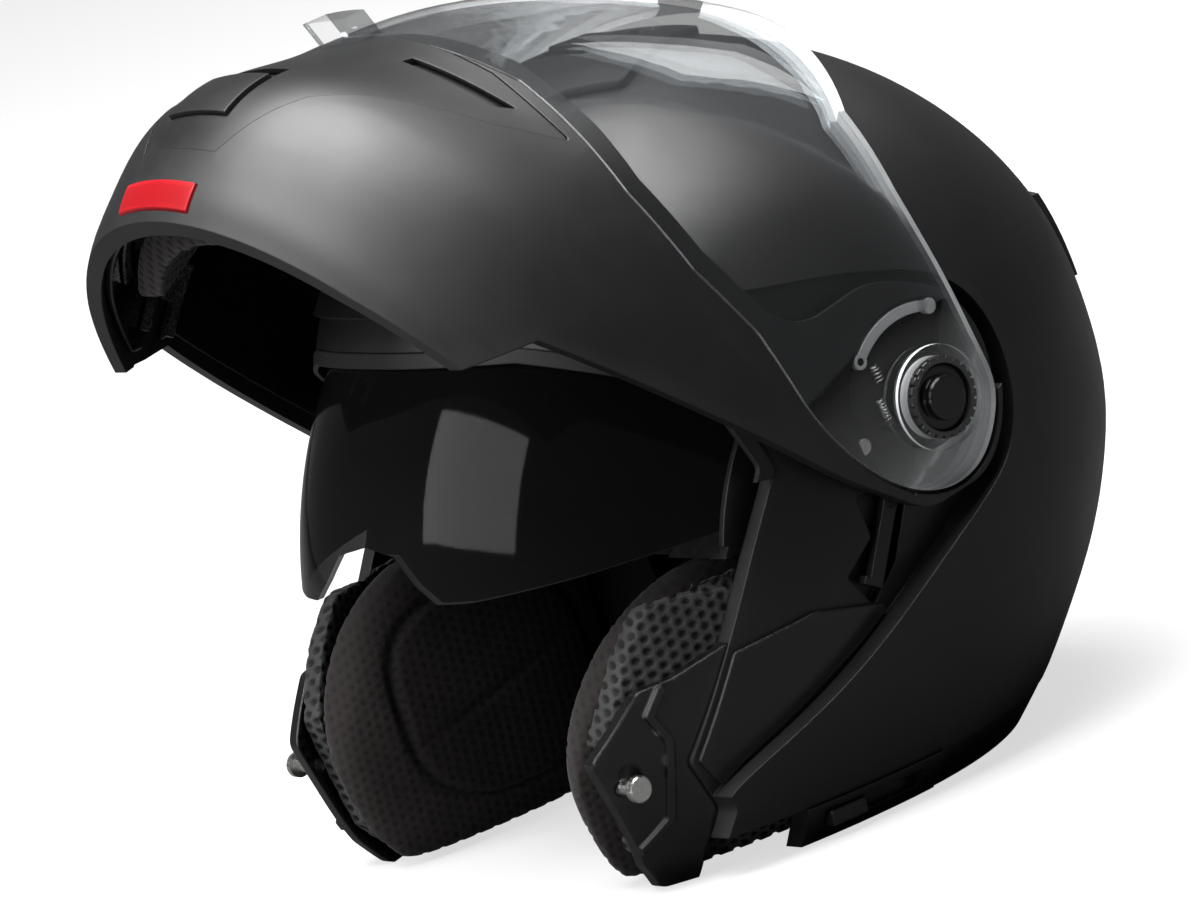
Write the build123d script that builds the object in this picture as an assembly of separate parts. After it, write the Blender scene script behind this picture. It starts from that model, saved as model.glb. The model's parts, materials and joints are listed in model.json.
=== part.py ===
"""Modular motorcycle helmet, shown with its chin bar raised, its clear visor shut onto the chin bar
and its inner sun visor lowered.

It is modelled about the pivot axis of the chin bar: X is that axis, with +X the wearer's left, -Y is
forward and +Z is up. What belongs to the chin bar is modelled shut and then raised. At the end the
whole helmet moves so that it stands on its rim at Z = 0, centred on its own length.
"""
from build123d import *
from functools import cache
import math
import os

# Overall sizes from the pivot axis, in millimetres
shell_half = 124.0
nape_reach = 130.0
face_reach = 196.0
crown_rise = 118.0
rim_drop = 123.0

# Angle of the raised chin bar and turns of the sun visor, in degrees
chin_raise = 63.0
sun_top_turn = 128.0
sun_low_turn = 171.0
sun_arm_top = 130.0
sun_arm_turn = 163.0
sun_retract = 32.0

# Clearances and cuts
seat_gap = 0.15
bed_gap = 0.25
run_gap = 0.05
layer_gap = 0.4
travel_gap = 0.6
sweep_gap = 3.5
overrun = 30.0

# Shell, trim and seals
shell_wall = 4.0
side_wall = 16.0
recess_depth = 10.0
brow_recess = 4.0
brow_wall = 7.2
cover_wall = 1.6
trim_height = 13.0
trim_wall = 8.0
trim_inset = 0.5
gasket_wall = 2.0
gasket_width = 5.0
gasket_proud = 1.0
gasket_drop = 8.0
opening_radius = 4.0

# Chin bar
chin_wall = 6.0
chin_proud = 1.5
panel_wall = 2.0
panel_inset = 0.3
panel_fit_share = 0.995
lining_wall = 2.2
chin_foam_wall = 6.0
breath_wall = 11.0
button_width = 38.0
button_height = 8.4
button_depth = 13.0
button_drop = 103.2
button_proud = 0.8
button_lip = 1.6
link_height = 4.5
link_drop = 93.5
link_end = 147.0
vent_width = 32.0
vent_height = 20.0
vent_top_drop = 54.6
vent_proud = 1.2
vent_travel = 6.0

# Clear visor
visor_wall = 2.4
visor_inset = 0.8
visor_gap = 1.3
tab_width = 22.0
tab_height = 10.0
tab_drop = 12.5
tab_proud = 9.5
tab_root = 2.2
tab_round = 3.6

# Jaw plates, lock pins and latch hooks
jaw_inset = 12.0
jaw_wall = 4.0
rib_height = 1.6
rib_width = 2.6
lock_head_radius = 4.2
lock_head = 2.5
lock_neck = 2.4
lock_x = 95.0
lock_y = -123.0
lock_z = -86.0
hook_wall = 1.8
hook_half = 9.0
hook_start_turn = 208.0
hook_end_turn = 217.5

# Head space, impact liners, pads and collars
head_half = 76.0
head_front = 86.0
head_back = 100.0
head_top = 80.0
head_square = 2.4
liner_wall = 7.0
liner_drop = 82.0
brow_drop = 30.0
liner_split = 6.0
cheek_foam_x = 88.4
cheek_foam_front = 44.0
cheek_foam_back = 8.0
cheek_foam_top = 32.0
collar_wall = 9.0
pad_square = 3.0
roll_start = 17.0
roll_top = 85.0
roll_half = 70.0
roll_back = 84.0
foot_gap = 4.0
stud_radius = 4.0
stud_length = 5.0

# Pivot mechanism, along X from the centre plane, and its radii
seat_x = 112.4
base_wall = 2.2
arm_x = 115.1
lever_floor_x = 117.2
washer_x = 121.9
washer_wall = 1.0
cap_step_x = 127.0
cap_x = 130.0
ring_x = 128.2
collar_x = 126.0
base_radius = 26.0
boss_radius = 33.0
post_radius = 14.2
hub_radius = 8.0
ring_radius = 12.8
ring_bore = 10.6
ring_teeth = 24
tooth_depth = 0.9
cap_radius = 7.0
cap_skirt = 10.0
visor_collar_radius = 16.5
screw_radius = 3.0
screw_head = 6.0
screw_head_wall = 2.2
screw_sink = 4.0
socket_radius = 2.2
washer_radius = 9.4

# Visor release levers and their springs
lever_inner = 26.5
lever_outer = 30.0
lever_wall = 2.2
lever_start_turn = 134.0
lever_end_turn = 203.0
pocket_start_turn = 124.0
pocket_end_turn = 300.0
pocket_gap = 1.2
lug_radius = 2.5
lug_pin = 1.2
small_screw_radius = 1.5
small_screw_head = 2.6
small_screw_turn = 258.0
coil_radius = 1.5
wire_radius = 0.2
coil_pitch = 1.0
spring_seat = 1.6

# Detent levers
detent_y = -19.0
detent_z = -28.0
detent_turn = 240.0
detent_length = 24.0
detent_width = 5.0
detent_wall = 3.2
detent_hook = 7.0
detent_x = 110.6
detent_pin = 1.4
pocket_depth = 4.0

# Sun visor, on its own pivot low behind the main one, with its slider
sun_pivot_back = 9.4
sun_pivot_drop = 50.0
sun_radius = 152.4
sun_half = 105.0
sun_edge = 95.0
sun_bow = 2.6
sun_round = 0.4
lens_wall = 2.2
arm_wall = 2.4
arm_reach = 86.0
arm_hub = 9.0
sun_pin = 4.0
sun_pin_head = 5.5
sun_pin_lip = 1.6
sun_pin_end = 107.0
track_front = 72.0
track_back = 16.0
track_height = 14.0
track_proud = 1.0
track_wall = 9.0
slot_front = 64.0
slot_floor_x = 97.0
slider_x = 106.0
slider_length = 14.0
slider_height = 5.0
slider_travel = 24.0
slider_round = 0.6

# Vents on the crown and the back
crown_vent_proud = 3.0
crown_vent_floor = 0.6
crown_slider_half = 14.0
crown_slider_front = 12.0
crown_slider_back = 4.0
crown_slider_wall = 2.7
crown_slider_travel = 6.0
spoiler_proud = 6.0
spoiler_half = 50.0
exhaust_half = 34.0
exhaust_height = 4.0
exhaust_floor = 0.6

# Chin strap
strap_width = 24.0
strap_wall = 2.0
strap_y = 2.0
strap_x = 74.0
strap_top = 40.0
strap_bend = 14.0
strap_knee_drop = 98.0
strap_run_x = 42.0
strap_run_drop = 115.0
buckle_half = 14.0
buckle_height = 7.0
buckle_margin = 1.5
buckle_ear = 2.0
buckle_lever_wall = 2.0
buckle_pin = 0.9

# Levels of the outer shapes: height, half width, middle, back, front of the shell, half width and front
# of the closed face, then the squareness of the shell's front and of the face's front. All but those
# two are shares of the overall sizes.
level_shares = (
    (-1.100, 0.740, -0.350, 0.540, 0.840, 0.780, 0.832, 2.40, 2.05),
    (-1.000, 0.782, -0.323, 0.592, 0.876, 0.835, 0.878, 2.40, 2.05),
    (-0.870, 0.871, -0.246, 0.677, 0.954, 0.930, 0.954, 2.40, 2.00),
    (-0.772, 0.911, -0.185, 0.738, 0.985, 0.965, 0.978, 2.40, 2.00),
    (-0.585, 0.956, -0.092, 0.865, 1.000, 0.990, 1.000, 2.40, 2.10),
    (-0.407, 0.984, -0.031, 0.950, 0.960, 1.000, 0.974, 2.30, 2.15),
    (-0.228, 1.000, 0.000, 1.000, 0.830, 1.000, 0.912, 2.25, 2.15),
    (0.000, 1.000, 0.000, 1.000, 0.690, 1.000, 0.850, 2.20, 2.15),
    (0.210, 0.978, 0.000, 0.962, 0.618, 0.995, 0.778, 2.20, 2.15),
    (0.420, 0.908, 0.000, 0.877, 0.574, 0.955, 0.675, 2.20, 2.15),
    (0.600, 0.800, 0.000, 0.754, 0.506, 0.855, 0.571, 2.20, 2.15),
    (0.750, 0.661, 0.000, 0.604, 0.418, 0.735, 0.459, 2.15, 2.10),
    (0.860, 0.510, 0.000, 0.446, 0.323, 0.600, 0.362, 2.10, 2.10),
    (0.940, 0.341, 0.000, 0.281, 0.215, 0.430, 0.253, 2.05, 2.05),
    (0.985, 0.173, 0.000, 0.129, 0.109, 0.240, 0.144, 2.00, 2.00),
)
back_square = 2.05
low_share = 0.4
high_share = 0.9

# Levels of the head space: height as a share of the drop or of its own top, and the share of its back
head_level_shares = (
    (-1.20, 0.74), (-0.80, 0.80), (-0.60, 0.87), (-0.30, 0.96), (0.00, 1.00), (0.30, 1.00), (0.55, 1.00),
    (0.74, 1.00), (0.88, 1.00), (0.96, 1.00),
)
section_points = 16

# Side-view outlines, as shares of the reaches, the drop and the rise
opening_shares = (
    (-0.515, -1.138), (-0.515, -0.919), (-0.495, -0.821), (-0.533, -0.683), (-0.439, -0.447),
    (-0.276, -0.049), (-0.301, 0.127), (-0.378, 0.280), (-0.510, 0.407), (-0.714, 0.458),
    (-1.224, 0.458), (-1.224, -1.138),
)
recess_edge_shares = (
    (-0.276, 0.424), (-0.153, 0.397), (-0.061, 0.373), (0.000, 0.347), (0.108, 0.305), (0.192, 0.229),
    (0.238, 0.127), (0.254, 0.017), (0.238, -0.106), (0.187, -0.205), (0.092, -0.285),
    (-0.020, -0.362), (-0.097, -0.439), (-0.235, -0.573), (-0.367, -0.675), (-0.459, -0.740),
    (-0.510, -0.793), (-0.536, -0.870), (-0.546, -1.138),
)
recess_rest_shares = (
    (-1.224, -1.138), (-1.224, 0.559), (-0.612, 0.525),
)
chin_top_shares = (
    (-1.224, -0.065), (-0.765, -0.041), (-0.653, -0.098), (-0.571, -0.154), (-0.439, -0.195),
)
arm_back_shares = (
    (-0.316, -0.195), (-0.240, -0.106), (-0.209, 0.059), (-0.159, 0.161), (-0.100, 0.233),
    (-0.024, 0.250), (0.055, 0.225), (0.144, 0.162), (0.211, 0.081), (0.238, -0.009), (0.211, -0.114),
    (0.178, -0.196), (0.092, -0.264), (-0.020, -0.337), (-0.143, -0.423),
)
chin_bottom_shares = (
    (-0.395, -0.593), (-0.554, -0.699), (-0.599, -0.874), (-0.765, -0.894), (-1.224, -0.911),
)
visor_bottom_shares = (
    (-1.224, -0.146), (-0.765, -0.114), (-0.663, -0.171), (-0.582, -0.220), (-0.439, -0.264),
    (-0.304, -0.264),
)
visor_back_shares = (
    (-0.179, -0.301), (-0.102, -0.305), (-0.020, -0.280), (0.077, -0.232), (0.154, -0.167),
    (0.204, -0.081), (0.212, 0.008), (0.177, 0.093), (0.108, 0.165), (0.000, 0.199), (-0.102, 0.242),
    (-0.265, 0.326),
)
visor_bed_shares = (
    (0.108, 1.017), (-1.224, 1.017),
)
visor_top_shares = (
    (-0.383, 0.424), (-0.480, 0.720), (-0.612, 1.017), (-1.224, 1.017),
)
side_cover_shares = (
    (-0.430, -0.447), (-0.281, -0.419), (-0.142, -0.468), (-0.204, -0.532), (-0.337, -0.638),
    (-0.449, -0.720), (-0.490, -0.764), (-0.524, -0.683),
)
pocket_shares = (
    (-0.158, -0.179), (-0.148, -0.293), (-0.207, -0.370), (-0.168, -0.463), (-0.112, -0.374),
    (-0.071, -0.244), (-0.092, -0.179),
)
jaw_shares = (
    (-0.398, -0.407), (-0.526, -0.463), (-0.582, -0.472), (-0.668, -0.618), (-0.607, -0.919),
    (-0.571, -1.000), (-0.469, -1.000), (-0.459, -0.732),
)
collar_shares = (
    (-0.230, -0.254), (-0.298, -0.254), (-0.515, -0.285), (-0.571, -0.390), (-0.633, -0.569),
    (-0.602, -0.878), (-0.551, -0.976), (-0.230, -0.976),
)
chin_lining_shares = (
    (-0.102, -0.203), (-0.306, -0.244), (-0.459, -0.244), (-0.592, -0.211), (-0.765, -0.163),
    (-1.224, -0.163), (-1.224, -0.862), (-0.765, -0.862), (-0.622, -0.837), (-0.566, -0.675),
    (-0.393, -0.553), (-0.143, -0.382),
)
breath_shares = (
    (-0.710, -0.488), (-1.224, -0.488), (-1.224, -0.829), (-0.720, -0.813),
)
chin_foam_shares = (
    (-0.770, -0.330), (-1.224, -0.330), (-1.224, -0.720), (-0.770, -0.720),
)
channel_shares = (
    (-0.551, -0.480), (-0.577, -0.537), (-0.556, -0.610), (-0.571, -0.813), (-0.617, -0.878),
)
spoiler_shares = (
    (0.700, 0.290), (0.950, 0.270), (1.060, 0.200), (1.070, 0.080), (0.990, 0.020), (0.700, 0.020),
)
stud_shares = (
    (-0.180, -0.400), (-0.180, -0.850), (-0.080, -0.620),
)
spring_shares = (
    ((-0.1130, -0.0630), (-0.0791, -0.0805)), ((-0.0663, -0.1106), (-0.0240, -0.1276)),
)

# Cheek pad levels: height, inner side, outer side, front and back, as shares of the drop, the half
# width and the reach of the face
pad_shares = (
    (-0.984, 0.430, 0.645, -0.577, -0.160), (-0.950, 0.410, 0.665, -0.600, -0.130),
    (-0.878, 0.403, 0.680, -0.622, -0.102), (-0.691, 0.403, 0.702, -0.648, -0.071),
    (-0.488, 0.430, 0.706, -0.602, -0.061), (-0.341, 0.480, 0.702, -0.510, -0.066),
    (-0.280, 0.520, 0.690, -0.440, -0.090), (-0.254, 0.560, 0.665, -0.380, -0.130),
)

# Front-view outlines, as shares of the half width and the drop
vent_panel_shares = (
    (-0.161, -0.715), (0.161, -0.715), (0.306, -0.488), (0.403, -0.407), (0.605, -0.293),
    (0.702, -0.203), (0.484, -0.138), (0.282, -0.122), (-0.282, -0.122), (-0.484, -0.138),
    (-0.702, -0.203), (-0.605, -0.293), (-0.403, -0.407), (-0.306, -0.488),
)
vent_slot_shares = (
    (0.306, -0.224), (0.310, -0.197), (0.590, -0.207), (0.565, -0.238),
)
sun_low_shares = (
    (0.000, -0.047), (0.121, -0.069), (0.194, -0.138), (0.266, -0.191), (0.363, -0.195),
    (0.605, -0.181), (0.762, -0.168), (0.850, -0.114),
)

# Places across the sun visor, as shares of its half width
sun_step_shares = (-1, -0.93, -0.84, -0.7, -0.5, -0.25, 0, 0.25, 0.5, 0.7, 0.84, 0.93, 1)

# The crown vent from above, as shares of the half width and the nape's reach
crown_vent_shares = (
    (-0.177, -0.308), (0.177, -0.308), (0.323, -0.192), (0.145, 0.192), (-0.145, 0.192),
    (-0.323, -0.192),
)

reach = shell_half + overrun
front_reach = face_reach + overrun
depth = rim_drop + overrun
arm_face_x = shell_half + chin_proud - visor_inset - visor_wall - visor_gap
lock_arc = math.hypot(lock_y, lock_z)
lock_turn = math.degrees(math.atan2(lock_z, lock_y)) % 360
lining_inset = chin_wall + travel_gap
foam_inset = lining_inset + lining_wall + layer_gap
breath_inset = foam_inset + chin_foam_wall + layer_gap
latch_inset = lining_inset + lining_wall + travel_gap + seat_gap
sun_axis = Axis((0, sun_pivot_back, -sun_pivot_drop), (1, 0, 0))


def section(height, half, front, back, middle, front_square, rear_square=back_square):
    """A closed egg-shaped wire at one height."""
    points = []
    for step in range(section_points):
        turn = 2 * math.pi * (step / section_points - 1 / 4)
        square = rear_square if math.sin(turn) > 0 else front_square
        across_share = math.copysign(abs(math.cos(turn)) ** (2 / square), math.cos(turn))
        along_share = math.copysign(abs(math.sin(turn)) ** (2 / square), math.sin(turn))
        length = back - middle if along_share > 0 else front + middle
        points.append(Vector(half * across_share, middle + length * along_share, height))
    return Wire([Edge.make_spline(points, periodic=True)])


@cache
def shell_body(side, front, back, top):
    """The shell's outer shape, drawn in by the given amounts."""
    wires = []
    for rise, half, middle, rear, face, _, _, square, _ in level_shares:
        height = rise * (crown_rise - top) if rise > 0 else rise * rim_drop
        draw = side if rise < low_share else top + (side - top) * max(0.0, high_share - rise)
        face_draw = side if rise < 0 else front
        wires.append(section(height, half * (shell_half - draw), face * (face_reach - face_draw),
                             rear * (nape_reach - back), middle * nape_reach, square))
    return Solid.make_loft(wires + [Vertex(0, 0, crown_rise - top)])


def recess_floor(draw):
    """The floor of the recess that the chin bar and visor lie over, drawn in by one amount."""
    return shell_body(recess_depth + draw, brow_recess + draw, draw, draw)


def hollow(gap):
    """The inside of the shell, with a gap all round."""
    return shell_body(side_wall + gap, brow_wall + gap, shell_wall + gap, shell_wall + gap)


@cache
def face_body(draw):
    """The closed face: the outside of the chin bar and visor, drawn in by one amount."""
    wires = []
    for rise, _, middle, rear, _, half, face, _, square in level_shares:
        height = rise * (crown_rise - draw) if rise > 0 else rise * rim_drop
        wires.append(section(height, half * (shell_half + chin_proud) - draw, face * face_reach - draw,
                             rear * nape_reach - draw, middle * nape_reach, square))
    return Solid.make_loft(wires + [Vertex(0, 0, crown_rise + overrun - draw)])


@cache
def head_body(grow):
    """The space for the head, grown by one amount and open below."""
    wires = []
    for rise, rear in head_level_shares:
        height = rise * (head_top + grow) if rise > 0 else rise * rim_drop
        share = (1 - max(rise, 0) ** head_square) ** (1 / head_square)
        wires.append(section(height, share * (head_half + grow), share * (head_front + grow),
                             share * rear * (head_back + grow), 0, head_square, head_square))
    return Solid.make_loft(wires + [Vertex(0, 0, head_top + grow)])


def side_points(shares):
    """Side-view points from shares: in front of the pivot, behind it, below it and above it."""
    points = []
    for along, up in shares:
        y = along * (face_reach if along < 0 else nape_reach)
        z = up * (rim_drop if up < 0 else crown_rise)
        points.append(Vector(0, y, z))
    return points


def grown(points, amount):
    """A closed loop of side-view points, each moved outwards."""
    following = points[1:] + points[:1]
    previous = points[-1:] + points[:-1]
    area = sum(a.Y * b.Z - b.Y * a.Z for a, b in zip(points, following))
    moved = []
    for before, point, after in zip(previous, points, following):
        along = (after - before).normalized()
        moved.append(point + Vector(0, along.Z, -along.Y) * math.copysign(amount, area * amount))
    return moved


def outline(curve_shares, line_shares, grow=0):
    """A closed side-view face: smooth through the first points and straight through the others."""
    points = side_points(curve_shares + line_shares)
    if grow:
        points = grown(points, grow)
    rest = points[len(curve_shares) - 1:] + points[:1]
    edges = [Edge.make_spline(points[:len(curve_shares)])]
    for start, end in zip(rest, rest[1:]):
        edges.append(Edge.make_line(start, end))
    return Face(Wire(edges))


def rounded(points, radius):
    """A closed face through the points, with rounded corners."""
    return Face(Wire(FilletPolyline(*points, radius=radius, close=True).edges()))


def prism(face, inner, outer):
    """A side-view face run along X from inner to outer."""
    return Solid.extrude(Pos(inner, 0, 0) * face, Vector(outer - inner, 0, 0))


def across(face):
    """A side-view face run across the whole helmet."""
    return prism(face, -reach, reach)


def front_prism(shares, radius, share=1):
    """A front-view outline run back through the face, from shares of the half width and the drop."""
    middle = (min(up for _, up in shares) + max(up for _, up in shares)) / 2
    points = []
    for along, up in shares:
        up = middle + (up - middle) * share
        points.append(Vector(along * share * shell_half, -front_reach, up * rim_drop))
    return Solid.extrude(rounded(points, radius), Vector(0, face_reach, 0))


def plan_prism(shares, radius):
    """An outline seen from above run up through the crown, from shares of the width and the length."""
    points = [Vector(along * shell_half, back * nape_reach, 0) for along, back in shares]
    return Solid.extrude(rounded(points, radius), Vector(0, 0, crown_rise + overrun))


def slab(x0, x1, y0, y1, z0, z1):
    """A block between two corners."""
    return Pos((x0 + x1) / 2, (y0 + y1) / 2, (z0 + z1) / 2) * Box(x1 - x0, y1 - y0, z1 - z0)


def circle(y, z, radius):
    """A round side-view face."""
    return Face(Wire([Edge.make_circle(radius, Plane(origin=(0, y, z), z_dir=(1, 0, 0)))]))


def rod(y, z, radius, inner, outer):
    """A round bar along X."""
    return prism(circle(y, z, radius), inner, outer)


def spoke(turn, radius):
    """The side-view point at one radius and direction, from straight back towards straight up."""
    return Vector(0, radius * math.cos(math.radians(turn)), radius * math.sin(math.radians(turn)))


def band(start, end, bore, rim):
    """A side-view face between two directions and two radii round the pivot."""
    middle = (start + end) / 2
    outer = Edge.make_three_point_arc(spoke(start, rim), spoke(middle, rim), spoke(end, rim))
    inner = Edge.make_three_point_arc(spoke(end, bore), spoke(middle, bore), spoke(start, bore))
    sides = [Edge.make_line(outer @ 1, inner @ 0), Edge.make_line(inner @ 1, outer @ 0)]
    return Face(Wire([outer, sides[0], inner, sides[1]]))


def mirrored(shape):
    """The same piece on the wearer's right."""
    return mirror(shape, about=Plane.YZ)


def both(shape):
    """A cut for both sides."""
    return [shape, mirrored(shape)]


def largest(shape):
    """The main solid of a shape, without the slivers that a cut may leave."""
    return max(shape.solids(), key=lambda solid: solid.volume)


def opening(grow=0):
    """The face opening, run across the helmet."""
    points = side_points(opening_shares)
    if grow:
        points = grown(points, grow)
    return across(rounded(points, opening_radius))


def below(height):
    """Everything under one height."""
    return slab(-reach, reach, -front_reach, nape_reach + overrun, -depth, height)


def behind(place):
    """Everything behind one place along the helmet."""
    return slab(-reach, reach, place, nape_reach + overrun, -depth, crown_rise + overrun)


def visor_face(grow=0):
    """The side view of the clear visor."""
    return outline(visor_back_shares, visor_top_shares + visor_bottom_shares, grow)


# Shell, trim and seals

def detent_pocket():
    """The pocket behind the pivot that holds a detent lever."""
    return prism(rounded(side_points(pocket_shares), detent_pin), shell_half / 2, reach)


def outer_shell():
    """The outer shell: face opening, a recess round each arm of the chin bar, open below."""
    shell = shell_body(0, 0, 0, 0)
    shell -= across(outline(recess_edge_shares, recess_rest_shares)) - recess_floor(0)
    cuts = both(rod(0, 0, base_radius + seat_gap, seat_x, reach))
    cuts += both(rod(0, 0, screw_radius, seat_x - screw_sink, reach))
    cuts += both(detent_pocket() - recess_floor(pocket_depth))
    for cut in cuts:
        shell = largest(shell - cut)
    shell -= hollow(0)
    shell -= opening()
    shell -= below(trim_height - rim_drop)
    for cut in both(rod(sun_pivot_back, -sun_pivot_drop, sun_pin, sun_edge + arm_wall, sun_pin_end)):
        shell = largest(shell - cut)
    pins = both(rod(detent_y, detent_z, detent_pin, seat_x - screw_sink, detent_x + detent_wall))
    return largest(shell.fuse(*pins))


def track_space():
    """The space of the sun visor's slider housing on the rim."""
    return slab(0, reach, -track_front, -track_back, -rim_drop, track_height - rim_drop)


def rim_trim():
    """The trim round the lower rim, flat below, with room for the slider's housing."""
    ring = shell_body(trim_inset, trim_inset, trim_inset, 0) & below(trim_height - rim_drop)
    ring -= shell_body(trim_inset + trim_wall, trim_inset + trim_wall, trim_inset + trim_wall, 0)
    ring -= below(-rim_drop)
    ring -= opening()
    return largest(ring - track_space())


def eye_port_gasket():
    """The soft seal round the eye port, a little proud of the recess."""
    strip = recess_floor(-gasket_proud) & (opening(-seat_gap) - opening(-gasket_width))
    strip -= recess_floor(gasket_wall - gasket_proud)
    return largest(strip - below(-gasket_drop))


def side_cover():
    """The thin cover low on the recess, beside the jaw."""
    space = prism(rounded(side_points(side_cover_shares), detent_pin), 0, reach) - detent_pocket()
    return largest((recess_floor(-bed_gap - cover_wall) & space) - recess_floor(-bed_gap))


def jaw_plate():
    """The plate behind the jaw edge, with a raised channel round the lock pin."""
    space = prism(rounded(side_points(jaw_shares), opening_radius), 0, reach) & opening(-seat_gap)
    channel = Polyline(*side_points(channel_shares))
    ribs = [prism(circle(corner.Y, corner.Z, rib_width / 2), 0, reach) for corner in channel.vertices()]
    for edge in channel.edges():
        middle = Plane(origin=edge @ 0.5, x_dir=edge % 0.5, z_dir=(1, 0, 0))
        ribs.append(prism(middle * Rectangle(edge.length, rib_width).face(), 0, reach))
    plate = (face_body(jaw_inset - rib_height) & space) - face_body(jaw_inset + jaw_wall)
    plate -= (space - ribs) - face_body(jaw_inset)
    return largest(plate - rod(lock_y, lock_z, lock_neck + run_gap, 0, reach))


def lock_pin():
    """The headed steel pin that the latch hook grips."""
    head_start = lock_x - lock_head
    neck = rod(lock_y, lock_z, lock_neck, head_start - lock_head - jaw_wall, head_start)
    head = rod(lock_y, lock_z, lock_head_radius, head_start, lock_x)
    pin = neck.fuse(head)
    rim = pin.edges().filter_by(GeomType.CIRCLE).sort_by(Axis.X)[-1]
    return pin.solid().chamfer(lock_head / 5, None, [rim])


# Impact liners, pads and collars

def sun_curve(x, radius, half):
    """How far the sun visor lies from its pivot, at one place across."""
    return radius * (1 - (abs(x) / half) ** sun_bow) ** sun_round


def sun_profile(radius, half, edge):
    """The sun visor's section as points across the helmet, on the pivot's level."""
    points = []
    for share in sun_step_shares:
        x = share * edge
        points.append(Vector(x, sun_pivot_back - sun_curve(x, radius, half), -sun_pivot_drop))
    return points


def turned(face, start, end):
    """A face through the sun visor's pivot axis, turned from one direction to another."""
    return revolve(face.rotate(sun_axis, start - 180), sun_axis, end - start)


def sun_sweep():
    """The space that the sun visor and its arms need in front of the liner."""
    inner_x = sun_edge - arm_wall
    curve = sun_profile(sun_radius - lens_wall - sweep_gap, sun_half - lens_wall, inner_x)
    ends = [curve[-1], Vector(inner_x, sun_pivot_back, -sun_pivot_drop),
            Vector(reach, sun_pivot_back, -sun_pivot_drop), Vector(reach, -front_reach, -sun_pivot_drop)]
    loop = ends + [Vector(-end.X, end.Y, end.Z) for end in reversed(ends)]
    edges = [Edge.make_spline(curve)]
    for start, end in zip(loop, loop[1:]):
        edges.append(Edge.make_line(start, end))
    fan = turned(Face(Wire(edges)), sun_top_turn - sun_retract - travel_gap, sun_low_turn + travel_gap)
    hubs = both(rod(sun_pivot_back, -sun_pivot_drop, arm_hub + sweep_gap, inner_x, reach))
    return [fan] + hubs


def liner_cuts():
    """What bounds the crown's liners: the face opening, the sun visor and the cheeks."""
    cheeks = below(-brow_drop) - behind(-liner_split)
    return [opening(), cheeks, below(-liner_drop)]


def crown_impact_liner():
    """The foam between the shell and the comfort liner, with a hollow for the sun visor."""
    foam = hollow(layer_gap) - head_body(liner_wall + layer_gap)
    return largest(foam - liner_cuts() - sun_sweep())


def comfort_liner():
    """The soft liner round the head."""
    return largest(head_body(liner_wall) - head_body(0) - liner_cuts())


def cheek_impact_liner():
    """The foam between the shell and a cheek pad."""
    upper = slab(cheek_foam_x, reach, -cheek_foam_front, -cheek_foam_back, foot_gap - rim_drop,
                 -cheek_foam_top)
    lower = slab(cheek_foam_x, reach, -cheek_foam_back - seat_gap, roll_start - travel_gap,
                 foot_gap - rim_drop, -roll_top)
    foam = hollow(layer_gap) & upper.fuse(lower)
    return largest(foam - cheek_studs_left() - sun_sweep())


def cheek_studs_left():
    """Three snap studs that hold a cheek pad."""
    studs = []
    for along, up in stud_shares:
        studs.append(rod(along * face_reach, up * rim_drop, stud_radius, cheek_foam_x - layer_gap,
                         cheek_foam_x + stud_length))
    return studs


def cheek_pad():
    """A cheek pad: crowned, thickest at its middle."""
    wires = []
    for rise, inner, outer, front, back in pad_shares:
        middle = (front + back) / 2 * face_reach
        ring = section(rise * rim_drop, (outer - inner) / 2 * shell_half, -front * face_reach,
                       back * face_reach, middle, pad_square)
        wires.append(Pos((inner + outer) / 2 * shell_half, 0, 0) * ring)
    inset = jaw_inset + jaw_wall + layer_gap + collar_wall + travel_gap
    return largest(Solid.make_loft(wires) & face_body(inset))


def cheek_collar():
    """The open-mesh collar between the jaw plate and the cheek pad."""
    inset = jaw_inset + jaw_wall + layer_gap
    space = prism(rounded(side_points(collar_shares), opening_radius), sun_half / 3, reach)
    collar = (face_body(inset) & space & hollow(layer_gap)) - face_body(inset + collar_wall)
    return largest(collar - sun_sweep())


def neck_roll():
    """The padded roll round the back of the neck opening."""
    side = side_wall + layer_gap
    back = trim_inset + trim_wall + layer_gap
    roll = shell_body(side, side, back, shell_wall) & behind(roll_start) & below(-roll_top)
    roll -= below(foot_gap - rim_drop)
    middle = [section(height, roll_half, roll_half, roll_back, 0, head_square) for height in
              (-depth, -rim_drop, -roll_top, -roll_half)]
    return largest(roll - Solid.make_loft(middle))


# Pivots

def pivot_base():
    """The plate seated in the shell, with the hub that the arm turns on."""
    base = rod(0, 0, base_radius, seat_x, seat_x + base_wall)
    base = base.fuse(rod(0, 0, hub_radius, seat_x, washer_x))
    return largest(base - rod(0, 0, screw_radius, 0, reach))


def pivot_screw():
    """The screw through the hub into the shell."""
    head_x = washer_x + washer_wall
    screw = rod(0, 0, screw_radius, seat_x - screw_sink, head_x)
    screw = screw.fuse(rod(0, 0, screw_head, head_x, head_x + screw_head_wall))
    return largest(screw - rod(0, 0, socket_radius, head_x + screw_head_wall / 4, reach))


def pivot_washer():
    """The washer that keeps the arm on its hub."""
    return rod(0, 0, washer_radius, washer_x, washer_x + washer_wall) - rod(0, 0, screw_radius, 0, reach)


def pivot_cap():
    """The stepped cap over the screw."""
    start = washer_x + washer_wall
    cap = rod(0, 0, cap_skirt, start, cap_step_x).fuse(rod(0, 0, cap_radius, cap_step_x, cap_x))
    cap = cap - rod(0, 0, screw_head + layer_gap, start, start + screw_head_wall + layer_gap)
    rims = cap.edges().filter_by(GeomType.CIRCLE).group_by(Axis.X)
    return largest(cap.solid().fillet(washer_wall / 2, [rims[-1][0]]))


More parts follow.
